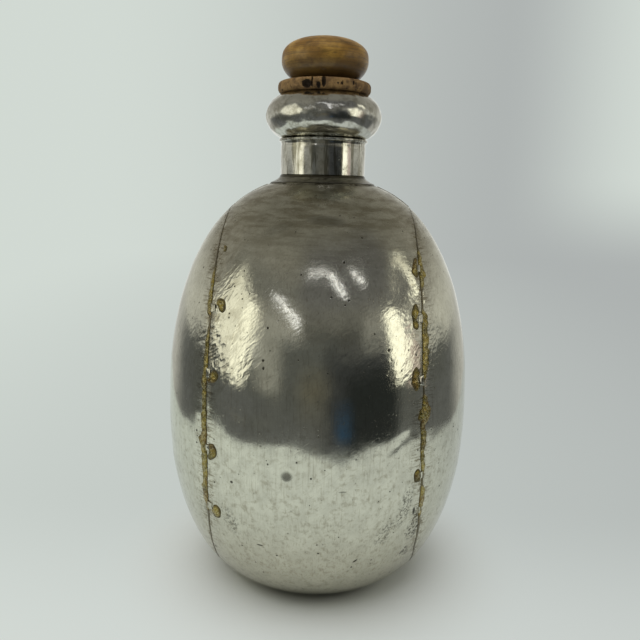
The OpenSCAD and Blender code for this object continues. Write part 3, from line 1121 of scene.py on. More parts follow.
@dataclass
class SideSeam:
    """The braze, the cramps and the brass spots of one side seam."""

    line: SeamLine
    widths: tuple[tuple[float, float], ...]
    cramps: tuple[Cramp, ...]
    inner_heights: tuple[float, ...]
    bead_steps: int = 900
    section_steps: int = 14
    lap: float = 0.4 * MM
    depth: float = 0.9 * MM
    highest: float = 0.36 * MM
    root: float = 2.4 * MM
    inner_size: float = 3 * MM
    inner_thick: float = 0.6 * MM

    def _width_at(self, z: float) -> float:
        """Width of the braze at a height, from the panel's edge over the cap."""
        return eased(self.widths, z)

    def bead(self, name: str) -> Piece:
        """Runs the braze round the cap.

        Args:
            name: Name of the new piece.

        Returns:
            A closed bead, with the numbers that its finish reads.
        """
        form, line = self.line.form, self.line
        path = [line.on_oval(math.tau * i / self.bead_steps) for i in range(self.bead_steps)]
        section = self.section_steps
        crown = section - 3

        def place(across: float, up: float) -> Vector:
            """Point of the bead from its shares round the section and along the seam."""
            step = round(up * self.bead_steps) % self.bead_steps
            point = path[step]
            before, after = path[step - 3], path[(step + 3) % self.bead_steps]
            normal = form.normal(point)
            over = (after - before).normalized().cross(normal)
            if over.x * line.side.value > 0:
                over = -over
            width = self._width_at(point.z)
            wide = smoothstep(width, 0.8 * MM, 2.4 * MM)
            uneven = ripple(point, 3.4 * MM, 2.0) * 0.34 + ripple(point, 1.7 * MM, 4.0) * 0.22
            width *= 1 + (0.3 + 0.7 * wide) * uneven
            edge = self.lap + 0.22 * MM * wide * ripple(point, 2.6 * MM, 7.0)
            proud = min(0.13 * width + 0.05 * MM, self.highest) * (1 + 0.5 * wide * uneven)
            slot = round(across * section) % section
            if slot <= crown:
                angle = math.pi * slot / crown
                lift = proud * math.sin(angle) ** 0.7
                off = edge - width / 2 * (1 - math.cos(angle))
                lump = ripple(point + over * off, 1.9 * MM, 13.0)
                lift *= 1 + 0.55 * wide * lump
            else:
                lift = -self.depth
                off = edge - width * (0.62 if slot > crown + 1 else 0.38)
            seat = form.sink(point, abs(off) + 1.2 * MM) + 0.05 * MM
            return point + over * off + normal * (lift - seat)

        def rim(across: float, up: float) -> float:
            """How near the rim a point is."""
            slot = round(across * section) % section
            return abs(1 - 2 * slot / crown) if slot <= crown else 1.0

        def thin(across: float, up: float) -> float:
            """How thin the braze has run at a point."""
            z = path[round(up * self.bead_steps) % self.bead_steps].z
            return smoothstep(self._width_at(z), 2.0 * MM, 1.3 * MM)

        stored = {"rim": rim, "thin": thin}
        bead = Bench.wrapped_sheet(name, section, self.bead_steps, place, stored)
        Bench.weld(bead, solid=True)
        return Bench.smooth(bead, 60)

    def tongue(self, cramp: Cramp, face: Face, inner: bool = False) -> Piece:
        """Forms one cramp over the seam.

        Args:
            cramp: The cramp's sizes.
            face: Front or back of the flask.
            inner: True for a cramp that laps the inside of the panel.

        Returns:
            The tongue in place.
        """
        root = self.root
        size = Vector((root + cramp.tip, cramp.tall, cramp.thick))
        centre = Vector(((cramp.tip - root) / 2, 0, 0))
        plate = Bench.plate("tongue", size, centre)
        clean = 0.0 if inner else 9.0
        rubbed = (cramp.tip - 2.1 * MM, cramp.tip - 1.7 * MM)
        Bench.measure(plate, "seam_gap", lambda p: clean * smoothstep(p.x, *rubbed))
        base = -self.line.form.sheet - cramp.thick / 2 if inner else cramp.thick * 0.15

        def bend(flat: Vector) -> Vector:
            """Narrows the tip, sinks the root and lays the tongue on the sheet."""
            reach = smoothstep(flat.x, -root, cramp.tip)
            flat.y *= 1.06 - 0.2 * reach * reach
            flat.y += 0.3 * MM * ripple(flat + Vector((cramp.height, 0, 0)), 2.5 * MM)
            flat.x += 0.3 * MM * reach * ripple(flat + Vector((0, cramp.height, 0)), 2.0 * MM, 3.0)
            flat.z += base - 0.8 * MM * smoothstep(flat.x, 0.5 * MM, -1.2 * MM) * (not inner)
            flat.z += 0.2 * MM * ripple(flat + Vector((0, cramp.height, 0)), 1.8 * MM)
            return self.line.laid(face, cramp.height, flat)

        Bench.knead(plate, bend)
        Bench.weld(plate, solid=True)
        return plate

    def spot(self, cramp: Cramp, face: Face) -> Piece:
        """Melts the brass round the tip of one cramp.

        Args:
            cramp: The cramp's sizes.
            face: Front or back of the flask.

        Returns:
            The spot in place.
        """
        half = cramp.spot_half
        spot = Bench.pebble("spot", half, cramp.spot, 0.4 * half.z)
        near = cramp.spot.x - half.x * 0.75
        high = cramp.tall / 2

        def rim(flat: Vector) -> float:
            """Share of the way from the crown to the rim."""
            across, up = (flat.x - cramp.spot.x) / half.x, (flat.y - cramp.spot.y) / half.y
            return min(math.hypot(across, up), 1.0)

        Bench.measure(spot, "rim", rim)
        Bench.measure(spot, "thin", lambda _: 0.0)

        def melt(flat: Vector) -> Vector:
            """Cuts the brass back round the tongue, roughens it and lays it on the sheet."""
            seed = Vector((cramp.height * 3, face.value * 0.1, 0))
            clear = near + 0.9 * MM * math.exp(-((flat.y / high) ** 2))
            flat.x = max(flat.x, clear + 0.25 * MM * ripple(flat + seed, 1.6 * MM))
            lift = flat.z
            wander = Vector((ripple(flat + seed, 3.4 * MM), ripple(flat - seed, 3.0 * MM), 0))
            flat += wander * 0.9 * MM
            flat.y -= cramp.spot_lean * (flat.x - cramp.spot.x)
            flat.z = lift * (0.85 + 0.7 * ripple(flat + seed * 2, 2.2 * MM))
            return self.line.laid(face, cramp.height, flat)

        Bench.knead(spot, melt)
        Bench.weld(spot, solid=True)
        return spot

    def tongues(self) -> list[Piece]:
        """All the outer and inner cramps of the seam, front and back."""
        made = [self.tongue(cramp, face) for cramp in self.cramps for face in Face if cramp.tip]
        for height in self.inner_heights:
            inner = Cramp(height, self.inner_size, self.inner_size, thick=self.inner_thick)
            made += [self.tongue(inner, face, inner=True) for face in Face]
        return made

    def spots(self, name: str) -> Piece:
        """All the brass spots of the seam, as one piece."""
        brass = [cramp for cramp in self.cramps if cramp.spot]
        spots = [self.spot(cramp, face) for cramp in brass for face in Face]
        return Bench.smooth(Bench.join(spots, name), 60)


@dataclass
class MiddleSeams:
    """The brazed lines where the front and back panels meet, beside the neck and across the base."""

    form: BodyForm
    lines: dict[Side, SeamLine]
    width: float = 2 * MM
    proud: float = 0.3 * MM
    neck_edge: float = 25.4 * MM
    depth: float = 0.9 * MM
    base_start: float = 0.01 * MM
    base_flush: float = 0.4 * MM
    section_steps: int = 10
    steps: int = 90

    def _strip(self, name: str, start: float, stop: float, side: Side, flush: float) -> Piece:
        """Runs one line along the profile between two lengths.

        Args:
            name: Name of the new piece.
            start: Length along the profile where it starts.
            stop: Length along the profile where it ends.
            side: Left or right half of the flask.
            flush: Height below which the line is filed flush with the sheet.

        Returns:
            The strip.
        """
        section = self.section_steps

        def place(across: float, up: float) -> Vector:
            """Point of the strip from its shares round the section and along it."""
            radius, z = self.form.at(start + (stop - start) * up)
            point = Vector((side.value * radius, 0, z))
            normal = self.form.normal(point)
            width = self.width * (1 + 0.3 * ripple(point, 3 * MM, 3.0))
            slot = round(across * section) % section
            angle = math.tau * slot / section
            off = width / 2 * math.cos(angle)
            proud = self.proud if z > flush else 0.0
            sunk = self.form.sink(point, 3 * MM)
            lift = proud * math.sin(angle) if angle <= math.pi else self.depth * math.sin(angle)
            return point + Vector((0, off, 0)) + normal * (lift - sunk)

        strip = Bench.wrapped_sheet(name, section, self.steps, place)
        Bench.take(strip)
        with Bench.editing():
            bpy.ops.mesh.fill_holes(sides=section + 2)
        Bench.weld(strip, solid=True)
        Bench.measure(strip, "rim", lambda p: min(abs(p.y) / self.width * 1.6, 1.0))
        Bench.measure(strip, "thin", lambda _: 0.3)
        return Bench.smooth(strip, 60)

    def shoulder(self, name: str) -> Piece:
        """The two short lines beside the neck, as one piece."""
        length_at = self.form.length_at
        stop = length_at(self.form.height_at(self.neck_edge))
        starts = {side: length_at(line.tip(True)) for side, line in self.lines.items()}
        strips = [self._strip(name, start, stop, side, 0.0) for side, start in starts.items()]
        return Bench.join(strips, name)

    def base(self, name: str) -> Piece:
        """The line across the base, as one piece."""
        ends = {side: self.form.length_at(line.tip(False)) for side, line in self.lines.items()}
        strips = [
            self._strip(name, self.base_start, end, side, self.base_flush)
            for side, end in ends.items()
        ]
        return Bench.join(strips, name)


@dataclass
class Neck:
    """The tube of the neck and the rings on it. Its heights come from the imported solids."""

    form: BodyForm
    wall: float = 1 * MM
    bevel: float = 0.35 * MM
    foot_edge: float = 0.6 * MM
    foot_steps: int = 12
    solder_high: float = 0.42 * MM
    solder_lap: float = 0.5 * MM
    solder_steps: int = 8
    groove_drop: float = 2.6 * MM
    groove_half: float = 0.7 * MM
    groove_depth: float = 0.25 * MM
    bulb_wall: float = 0.9 * MM
    bulb_steps: int = 44

    def tube(self, name: str) -> Piece:
        """The tube that runs from inside the body to the mouth."""
        low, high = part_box("neck_tube")
        inner, outer, soft = high.x - self.wall, high.x, high.z - self.bevel
        mouth = [(outer - self.bevel, high.z), (inner + self.bevel, high.z)]
        line = [(inner, low.z), (outer, low.z), (outer, soft), *mouth, (inner, soft)]
        return Bench.smooth(Bench.turned(name, line), 25)

    def foot(self, name: str) -> Piece:
        """The flared ring on the shoulder, a little out of round."""
        inner, outer = self.form.neck_r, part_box("neck_foot")[1].x
        collar_z, collar_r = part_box("neck_collar")[0].z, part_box("neck_collar")[1].x
        rise = collar_z - self.foot_edge - self.form.height_at(collar_r)
        under = [inner + (outer - inner) * share for share in shares(self.foot_steps)]
        line = [(radius, self.form.height_at(radius)) for radius in under]
        for share in shares(self.foot_steps):
            angle = math.pi / 2 * share
            radius = outer - (outer - collar_r) * math.sin(angle)
            lift = self.foot_edge + rise * (1 - math.cos(angle))
            line.append((radius, self.form.height_at(radius) + lift))
        line.append((inner, collar_z))

        def uneven(point: Vector) -> Vector:
            """Draws the ring's edge in by uneven amounts."""
            edge = smoothstep(from_axis(point), inner + 2 * MM, outer)
            return drawn_in(point, 0.15 * MM * edge * swell(point, 7 * MM, 3.0))

        return Bench.smooth(Bench.knead(Bench.turned(name, line), uneven), 35)

    def solder(self, name: str) -> Piece:
        """The lumpy fillet round the foot ring, heaviest at the right."""
        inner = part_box("neck_foot")[1].x - self.solder_lap
        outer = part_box("foot_solder")[1].x
        line = []
        for share in shares(self.solder_steps):
            radius = inner + (outer - inner) * share
            line.append((radius, self.form.height_at(radius) - 0.2 * MM))
        for share in reversed(shares(self.solder_steps)):
            radius = inner + (outer - inner) * share
            lift = self.solder_high * (1 - share) ** 1.4
            line.append((radius, self.form.height_at(radius) + lift))

        def lump(point: Vector) -> Vector:
            """Moves the fillet's face in and out."""
            radius = from_axis(point)
            heavy = smoothstep(point.x, 8 * MM, 20 * MM) * smoothstep(-point.y, 0, 12 * MM)
            wave = ripple(point, 3.4 * MM, 2.0) * 0.14 + ripple(point, 11 * MM, 6.0) * 0.6
            above = point.z > self.form.height_at(radius) - 0.1 * MM
            lift = above * (0.06 * MM * wave + 0.5 * MM * heavy * max(wave + 0.3, 0.0))
            inward = 0.6 * MM * smoothstep(radius, inner, outer) * (0.5 + wave)
            return drawn_in(point, inward) + Vector((0, 0, lift))

        return Bench.smooth(Bench.knead(Bench.turned(name, line, steps=220), lump), 60)

    def collar(self, name: str) -> Piece:
        """The plain collar, with a groove under its bead and soft flats in its wall."""
        low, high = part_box("neck_collar")
        inner, outer, start = high.x - self.wall, high.x, low.z + self.bevel
        line = [(inner, low.z), (outer - self.bevel, low.z)]
        for share in shares(26):
            z = start + (high.z - start) * share
            off = (z - high.z + self.groove_drop) / self.groove_half
            line.append((outer - self.groove_depth * math.exp(-3 * off * off), z))
        line.append((inner, high.z))
        return self._dressed(Bench.turned(name, line), 0.34 * MM, 6 * MM, 35)

    def bead(self, name: str) -> Piece:
        """The half-round bead at the top of the collar."""
        low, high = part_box("neck_bead")
        collar_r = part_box("neck_collar")[1].x
        middle, half, seat = (low.z + high.z) / 2, (high.z - low.z) / 2, collar_r - 0.3 * MM
        line = [(seat, low.z)]
        for share in shares(12):
            angle = math.pi * (share - 0.5)
            radius = collar_r + (high.x - collar_r) * math.cos(angle)
            line.append((radius, middle + half * math.sin(angle)))
        line.append((seat, high.z))
        return self._dressed(Bench.turned(name, line), 0.1 * MM, 8 * MM, 50)

    @staticmethod
    def _dressed(
        ring: Piece, depth: float, wavelength: float, angle: float
    ) -> Piece:
        """Presses a ring's wall in by soft upright waves, and smooths it up to an angle."""

        def press(point: Vector) -> Vector:
            """Presses one point in."""
            flat = Vector((point.x, point.y, point.z * 0.2))
            return drawn_in(point, depth * swell(flat, wavelength, 8.0))

        return Bench.smooth(Bench.knead(ring, press), angle)

    def bulb(self, name: str) -> Piece:
        """The hollow bulb round the mouth, planished by hand."""
        low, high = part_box("mouth_bulb")
        middle, half, start = (low.z + high.z) / 2, (high.z - low.z) / 2, self.form.neck_r
        # The section's circle runs through the tube's wall at its two ends
        rise = high.x - start
        radius = (rise**2 + half**2) / (2 * rise)
        hub_r = high.x - radius
        reach = math.asin(half / radius)
        if rise > radius:
            reach = math.pi - reach
        angles = [reach * (2 * share - 1) for share in shares(self.bulb_steps)]
        arc = [(hub_r + radius * math.cos(a), middle + radius * math.sin(a)) for a in angles]
        bulb = Bench.turned(name, arc, closed=False, steps=192)

        def planish(point: Vector) -> Vector:
            """Presses the bulb in, most where it stands out."""
            outer = from_axis(point)
            waves = 0.34 * MM * swell(point, 6.5 * MM, 8.0)
            blows = 0.26 * MM * hammer_marks(point, 5.5 * MM)
            depth = (waves + blows) * smoothstep(outer, start, start + 3 * MM)
            hub = Vector((point.x * hub_r / outer, point.y * hub_r / outer, middle))
            return point + (hub - point).normalized() * depth

        Bench.knead(bulb, planish)
        Bench.face_away(bulb, Vector((0, 0, middle)))
        Bench.thicken(bulb, self.bulb_wall)
        return Bench.smooth(bulb, 50)


@dataclass(frozen=True)
class Void:
    """A hole or crack in the rim of the washer."""

    azimuth: float
    height_share: float
    half_width: float
    half_height: float
    depth: float

    def depth_at(self, azimuth: float, share: float, radius: float) -> float:
        """How far the rim is eaten away at a place."""
        turn = (azimuth - self.azimuth + 180) % 360 - 180
        across = math.radians(turn) * radius / self.half_width
        up = (share - self.height_share) / self.half_height
        return self.depth * math.exp(-((across * across + up * up) ** 2))


@dataclass
class Stopper:
    """Knob, peg and plug of the stopper, and the cork washer under the knob."""

    washer_round: float = 1.8 * MM
    knob_waist_share: float = 8.9 / 19.4
    knob_seat_share: float = 13 / 19.6
    knob_power: float = 2.8
    peg_bevel: float = 0.4 * MM
    plug_taper: float = 2 * MM
    plug_bevel: float = 1 * MM
    voids: tuple[Void, ...] = ()

    def washer(self, name: str) -> Piece:
        """The cork washer, with voids and splits in its rim."""
        low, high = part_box("cork_washer")
        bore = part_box("stopper_peg")[1].x + 0.1 * MM
        outer, height, corner = high.x, high.z - low.z, self.washer_round
        bottom = [(bore + (outer - corner - bore) * share, low.z) for share in shares(14)[:-1]]
        for share in shares(8):
            angle = math.pi / 2 * share
            rise = corner * (1 - math.cos(angle))
            bottom.append((outer - corner * (1 - math.sin(angle)), low.z + rise))
        start, straight = low.z + corner, height - 2 * corner
        wall = [(outer, start + straight * share) for share in shares(12)[1:-1]]
        top = [(radius, low.z + high.z - z) for radius, z in reversed(bottom)]
        washer = Bench.turned(name, bottom + wall + top, steps=420)

        def eaten(point: Vector) -> float:
            """Depth of the voids at a point, in metres."""
            azimuth = math.degrees(math.atan2(point.x, -point.y))
            share = (point.z - low.z) / height
            rim = smoothstep(from_axis(point), bore + 8 * MM, outer - 1.5 * MM)
            return rim * sum(void.depth_at(azimuth, share, outer) for void in self.voids)

        def weather(point: Vector) -> Vector:
            """Eats the voids out of the rim and roughens it."""
            rim = smoothstep(from_axis(point), outer - 5 * MM, outer)
            rough = 0.28 * MM * swell(point, 2.6 * MM) + 0.22 * MM * swell(point, 9 * MM, 4.0)
            return drawn_in(point, eaten(point) + rough * rim)

        # The voids' depth is stored for the cork's painted shade.
        Bench.measure(washer, "hollow", lambda p: min(eaten(p) / MM, 1.0))
        return Bench.smooth(Bench.knead(washer, weather), 50)

    def knob(self, name: str) -> Piece:
        """The turned knob, with faint lathe lines and small knocks."""
        low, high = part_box("stopper_knob")
        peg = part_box("stopper_peg")[1]
        radius, height = high.x, high.z - low.z
        waist = height * self.knob_waist_share
        middle = low.z + waist
        lower = waist / math.sqrt(1 - self.knob_seat_share**2)
        start = -math.asin(waist / lower)
        line = [(peg.x, low.z)]
        for share in shares(30)[:-1]:
            angle = start * (1 - share)
            line.append((radius * math.cos(angle), middle + lower * math.sin(angle)))
        for share in shares(30):
            angle = math.pi / 2 * share
            rise = (height - waist) * math.sin(angle) ** (2 / self.knob_power)
            line.append((max(radius * math.cos(angle), 0.0), middle + rise))
        line += [(0.0, peg.z), (peg.x, peg.z)]

        def wear(point: Vector) -> Vector:
            """Presses lathe lines and knocks into the knob, but not into its seat or its bore."""
            in_bore = from_axis(point) < peg.x + 0.1 * MM and point.z < peg.z + 0.1 * MM
            if in_bore or point.z < low.z + 0.2 * MM:
                return point
            lathe = 0.03 * MM * swell(Vector((0, 0, point.z)), 0.9 * MM)
            worn = 0.14 * MM * swell(point, 9 * MM, 6.0)
            knock = 0.05 * MM * hammer_marks(point, 6 * MM)
            inward = (Vector((0, 0, middle)) - point).normalized()
            return point + inward * (lathe + worn + knock)

        return Bench.smooth(Bench.knead(Bench.turned(name, line, steps=160), wear), 35)

    def peg(self, name: str) -> Piece:
        """The peg that joins the knob to the plug, with a bevel at each end."""
        low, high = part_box("stopper_peg")
        radius, bevel = high.x, self.peg_bevel
        lower = [(0.0, low.z), (radius - bevel, low.z), (radius, low.z + bevel)]
        upper = [(r, low.z + high.z - z) for r, z in reversed(lower)]
        return Bench.smooth(Bench.turned(name, lower + upper, steps=64), 30)

    def plug(self, name: str) -> Piece:
        """The tapered cork plug, rubbed and pitted."""
        low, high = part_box("stopper_plug")
        bore, top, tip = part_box("stopper_peg")[1].x, high.x, high.x - self.plug_taper
        start = low.z + self.plug_bevel
        line = [(bore, low.z), (tip - self.plug_bevel, low.z)]
        for share in shares(40):
            line.append((tip + (top - tip) * share, start + (high.z - start) * share))
        line += [(top - 4 * MM, high.z), (bore, high.z)]
        plug = Bench.turned(name, line, steps=240)

        def pit(point: Vector) -> float:
            """How much of a pit there is at a point, from 0 to 1."""
            return smoothstep(ripple(point, 3.4 * MM, 3.0), 0.42, 0.62)

        def rub(point: Vector) -> Vector:
            """Pits the plug's side and roughens it."""
            side = smoothstep(from_axis(point), bore + 2 * MM, tip - MM)
            rough = 0.15 * MM * swell(point, 1.6 * MM)
            return drawn_in(point, side * (0.9 * MM * pit(point) + rough))

        # The pits are stored for the cork's painted shade.
        Bench.measure(plug, "hollow", pit)
        return Bench.smooth(Bench.knead(plug, rub), 50)


@dataclass(frozen=True)
class Glow:
    """A patch of the room that shows in the metal: a window, a lamp or a dark corner."""

    azimuth: float
    elevation: float
    half_width: float
    half_height: float
    soft: float
    colour: Colour
    strength: float = 1.0
    turn: float = 0.0

    def share(self, azimuth: Wire, elevation: Wire) -> Wire:
        """How much of the patch there is in a direction in degrees, 1 inside and 0 outside."""
        cosine, sine = math.cos(math.radians(self.turn)), math.sin(math.radians(self.turn))
        side, up = azimuth - self.azimuth, elevation - self.elevation
        if self.turn:
            side, up = side * cosine + up * sine, up * cosine - side * sine
        across = abs(side).ramp(self.half_width + self.soft, self.half_width - self.soft)
        along = abs(up).ramp(self.half_height + self.soft, self.half_height - self.soft)
        return across * along


@dataclass
class Studio:
    """Floor, backdrop, room light and camera."""

    # Colours of the floor and the backdrop at the left and at the right, where painted shade darkens
    # them
    pale_left: Colour = (0.64, 0.695, 0.65)
    pale_right: Colour = (0.42, 0.445, 0.438)
    # Painted light towards the front of the floor, and the painted contact shadow in front of the base
    # with the lit floor colour around it
    floor_glow: Colour = (0.95, 1.0, 0.95)
    floor_shadow: Colour = (0.12, 0.12, 0.10)
    floor_lit: Colour = (0.86, 0.885, 0.86)
    wall_low: Colour = (0.56, 0.56, 0.515)
    wall_high: Colour = (0.33, 0.32, 0.285)
    ceiling: Colour = (0.21, 0.205, 0.18)
    ground_front: Colour = (0.12, 0.125, 0.125)
    ground_back: Colour = (0.5, 0.5, 0.47)
    rear_window: Colour = (0.95, 0.97, 0.94)
    lamp_size: float = 1.5
    lamp_power: float = 11.5
    lamp_place: Vector = field(default_factory=lambda: Vector((-0.2, -0.15, 1.3)))
    lamp_aim: Vector = field(default_factory=lambda: Vector((0, 0, 0.1)))
    floor_reach: float = 1.6
    wall_rise: float = 3.0
    table_reach: float = 0.285
    table_bulges: tuple[tuple[float, float, float], ...] = (
        (-80.0, 15.0, 0.09), (18.0, 16.0, -0.035), (60.0, 12.0, 0.03)
    )
    focal_length: float = 37.125
    sensor_width: float = 36.0
    nearest_seen: float = 0.01
    camera_place: Vector = field(default_factory=lambda: Vector((0.43, -313.07, 185.11)) * MM)
    camera_pitch: float = 11.393
    camera_roll: float = math.degrees(0.024)
    camera_orbit: float = 1.1
    patches: tuple[Glow, ...] = ()

    def camera(self) -> None:
        """Places the camera as the photograph's was."""
        data = bpy.data.cameras.new("camera")
        data.lens = self.focal_length
        data.sensor_width = self.sensor_width
        data.clip_start = self.nearest_seen
        camera = bpy.data.objects.new("camera", data)
        bpy.context.collection.objects.link(camera)
        tilt = Matrix.Rotation(math.radians(90 - self.camera_pitch), 4, "X")
        roll = Matrix.Rotation(math.radians(self.camera_roll), 4, "Z")
        orbit = Matrix.Rotation(math.radians(self.camera_orbit), 4, "Z")
        camera.matrix_world = orbit @ Matrix.Translation(self.camera_place) @ tilt @ roll
        bpy.context.scene.camera = camera

    def _pale(self, recipe: Recipe) -> Wire:
        """Colour of the floor and the backdrop, with painted shade that darkens it to the right, but not
        in the far corner.
        """
        x, z = recipe.along("X"), recipe.height()
        corner = x.ramp(430.0, 820.0) * z.ramp(-20.0, 240.0)
        return recipe.blend(self.pale_left, self.pale_right, x.ramp(-650.0, 600.0) * (1 - corner))

    def stage(self) -> None:
        """Builds the floor, with a painted contact shadow in front of the base and painted light towards
        the front, and the round backdrop.
        """
        floor, recipe = Recipe.material("pale_floor")
        x, y = recipe.along("X"), recipe.along("Y")
        away = ((x * x + y * y) ** 0.5).ramp(40.0, 108.0)
        ahead = (x * x + (y + 14) ** 2) ** 0.5
        # Painted light: the floor is paler towards the front.
        pale = recipe.blend(self._pale(recipe), self.floor_glow, y.ramp(60.0, -110.0) * 0.24)
        # Painted contact shadow: dark in an oval just in front of the base, fading out by 38 mm from its
        # middle.
        shade = recipe.blend(self.floor_shadow, self.floor_lit, ahead.ramp(20.0, 38.0))
        lit, flat = recipe.plain("BsdfDiffuse", shade), recipe.plain("Emission", pale)
        recipe.end(recipe.either(away, lit, flat))
        wall, recipe = Recipe.material("pale_backdrop")
        recipe.end(recipe.plain("Emission", self._pale(recipe)))
        reach = self.floor_reach

        def front(share: Vector) -> Vector:
            """Point of the table's front half, whose uneven edge shows in the metal."""
            azimuth = share.x * 180
            radius = self.table_reach + sum(
                rise * math.exp(-(((azimuth - place) / width) ** 2))
                for place, width, rise in self.table_bulges
            )
            angle = math.radians(azimuth)
            return Vector((math.sin(angle), -math.cos(angle), 0)) * radius * (0.5 - share.y)

        for name, move in (
            ("table_front", front),
            ("table_back", lambda p: Vector((p.x * 2 * self.table_reach, (p.y + 0.5) * reach, 0))),
            ("floor", lambda p: Vector((p.x * 2 * reach, p.y * 2 * reach, -0.3 * MM))),
        ):
            Bench.clear()
            bpy.ops.mesh.primitive_grid_add(x_subdivisions=72, y_subdivisions=12, size=1)
            piece = Bench.name_new(name)
            Bench.knead(piece, move)
            Bench.weld(piece)
            piece.data.materials.append(floor)
            piece.visible_glossy = name != "floor"
            piece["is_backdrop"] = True

        Bench.clear()
        bpy.ops.mesh.primitive_cylinder_add(
            vertices=128, radius=self.floor_reach, depth=self.wall_rise,
            end_fill_type="NOTHING", location=(0, 0, self.wall_rise / 2 - 0.05),
        )
        backdrop = Bench.name_new("backdrop")
        backdrop.data.transform(backdrop.matrix_world)
        backdrop.matrix_world = Matrix.Identity(4)
        backdrop.data.materials.append(wall)
        for ray in ("glossy", "diffuse", "shadow"):
            setattr(backdrop, f"visible_{ray}", False)
        backdrop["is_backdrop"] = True

    def lamp(self) -> None:
        """A large soft light above and to the left, which metal doesn't mirror."""
        data = bpy.data.lights.new("softbox", "AREA")
        data.shape = "SQUARE"
        data.size = self.lamp_size
        data.energy = self.lamp_power
        light = bpy.data.objects.new("softbox", data)
        bpy.context.collection.objects.link(light)
        light.location = self.lamp_place
        aim = self.lamp_aim - self.lamp_place
        light.rotation_euler = aim.to_track_quat("-Z", "Y").to_euler()
        light.visible_glossy = False

    def room(self) -> None:
        """Gives the world its pale ground and the patches that the metal mirrors."""
        world = bpy.data.worlds.new("room")
        bpy.context.scene.world = world
        world.use_nodes = True
        recipe = Recipe(world.node_tree)
        direction = recipe.out(recipe.add("ShaderNodeTexCoord"), "Generated")
        parts = recipe.add("ShaderNodeSeparateXYZ", {}, {0: direction})
        x, y, z = (recipe.out(parts, axis) for axis in "XYZ")
        degrees = 180 / math.pi
        elevation = z.maths("ARCSINE", z) * degrees
        azimuth = x.maths("ARCTAN2", x, y * -1) * degrees
        wall = recipe.blend(self.wall_low, self.wall_high, elevation.ramp(2.0, 24.0))
        colour = recipe.blend(wall, self.ceiling, elevation.ramp(28.0, 60.0))
        behind = abs(azimuth).ramp(115.0, 145.0)
        below = recipe.blend(self.ground_front, self.ground_back, behind)
        colour = recipe.blend(colour, below, elevation.ramp(1.0, -4.0))
        bright = abs(azimuth).ramp(148.0, 172.0) * abs(elevation).ramp(30.0, 10.0)
        colour = recipe.blend(colour, self.rear_window, bright)
        for patch in self.patches:
            tint = tuple(c * patch.strength for c in patch.colour)
            colour = recipe.blend(colour, tint, patch.share(azimuth, elevation))
        path = recipe.out(recipe.add("ShaderNodeLightPath"), "Is Camera Ray")
        lit, seen = (recipe.plain("Background", shown) for shown in (colour, self.pale_left))
        recipe.end(recipe.either(path, lit, seen), "World")


@dataclass(frozen=True)
class Fitting:
    """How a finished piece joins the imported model."""

    piece: Piece
    body: str
    node: str
    slot: Slot
    finish: Finish

    def fit(self) -> None:
        """Dresses the piece, puts it in its node's place and reports it."""
        self.piece.data.materials.clear()
        self.piece.data.materials.append(self.finish.material())
        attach(self.piece, self.body)
        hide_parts(self.node)
        log.info("%s: %d faces, on %s", self.piece.name, len(self.piece.data.polygons), self.body)


@dataclass
class Flask:
    """The whole object, built sub-assembly by sub-assembly."""

    form: BodyForm
    lines: dict[Side, SeamLine]
    seams: dict[Side, SideSeam]
    stopper: Stopper
    sheet: Finish = field(default_factory=WornSheet)
    bright: Finish = field(default_factory=NeckMetal)
    braze: Finish = field(default_factory=StainedBraze)
    wood: Finish = field(default_factory=TurnedWood)
    cork: Finish = field(default_factory=OldCork)

    def body(self) -> Iterable[Fitting]:
        """Panels, caps and braze of the body."""
        shell = BodyShell(self.form, self.lines)
        for face in Face:
            node = f"{face.name.lower()}_panel"
            piece = shell.panel(face, node + "_metal")
            yield Fitting(piece, "flask", node, Slot.METAL, self.sheet)
        for side, seam in self.seams.items():
            label = side.name.lower()
            cap = shell.cap(side, "cap")
            cap = Bench.smooth(Bench.join([cap, *seam.tongues()], f"{label}_cap_metal"))
            yield Fitting(cap, "flask", f"{label}_cap", Slot.METAL, self.sheet)
            bead = seam.bead(f"{label}_seam_brass")
            yield Fitting(bead, "flask", f"{label}_seam_braze", Slot.BRAZE, self.braze)
            spots = seam.spots(f"{label}_cramp_brass")
            yield Fitting(spots, "flask", f"{label}_cramp_braze", Slot.BRAZE, self.braze)
        middle = MiddleSeams(self.form, self.lines)
        shoulder = middle.shoulder("shoulder_seam_brass")
        yield Fitting(shoulder, "flask", "shoulder_seam_braze", Slot.BRAZE, self.braze)
        base = middle.base("base_seam_brass")
        yield Fitting(base, "flask", "base_seam_braze", Slot.BRAZE, self.braze)

    def neck(self) -> Iterable[Fitting]:
        """Tube and rings of the neck."""
        neck = Neck(self.form)
        for node, make, slot, finish in (
            ("neck_tube", neck.tube, Slot.METAL, self.bright),
            ("neck_foot", neck.foot, Slot.METAL, FootMetal()),
            ("foot_solder", neck.solder, Slot.SOLDER, DullSolder()),
            ("neck_collar", neck.collar, Slot.METAL, self.bright),
            ("neck_bead", neck.bead, Slot.METAL, self.bright),
            ("mouth_bulb", neck.bulb, Slot.METAL, self.bright),
        ):
            yield Fitting(make(node + "_ring"), "flask", node, slot, finish)

    def closure(self) -> Iterable[Fitting]:
        """Washer and stopper."""
        parts = self.stopper
        yield Fitting(parts.washer("washer_cork"), "washer", "cork_washer", Slot.CORK, self.cork)
        for node, make, slot, finish in (
            ("stopper_knob", parts.knob, Slot.WOOD, self.wood),
            ("stopper_peg", parts.peg, Slot.WOOD, self.wood),
            ("stopper_plug", parts.plug, Slot.CORK, self.cork),
        ):
            yield Fitting(make(node + "_turned"), "stopper", node, slot, finish)


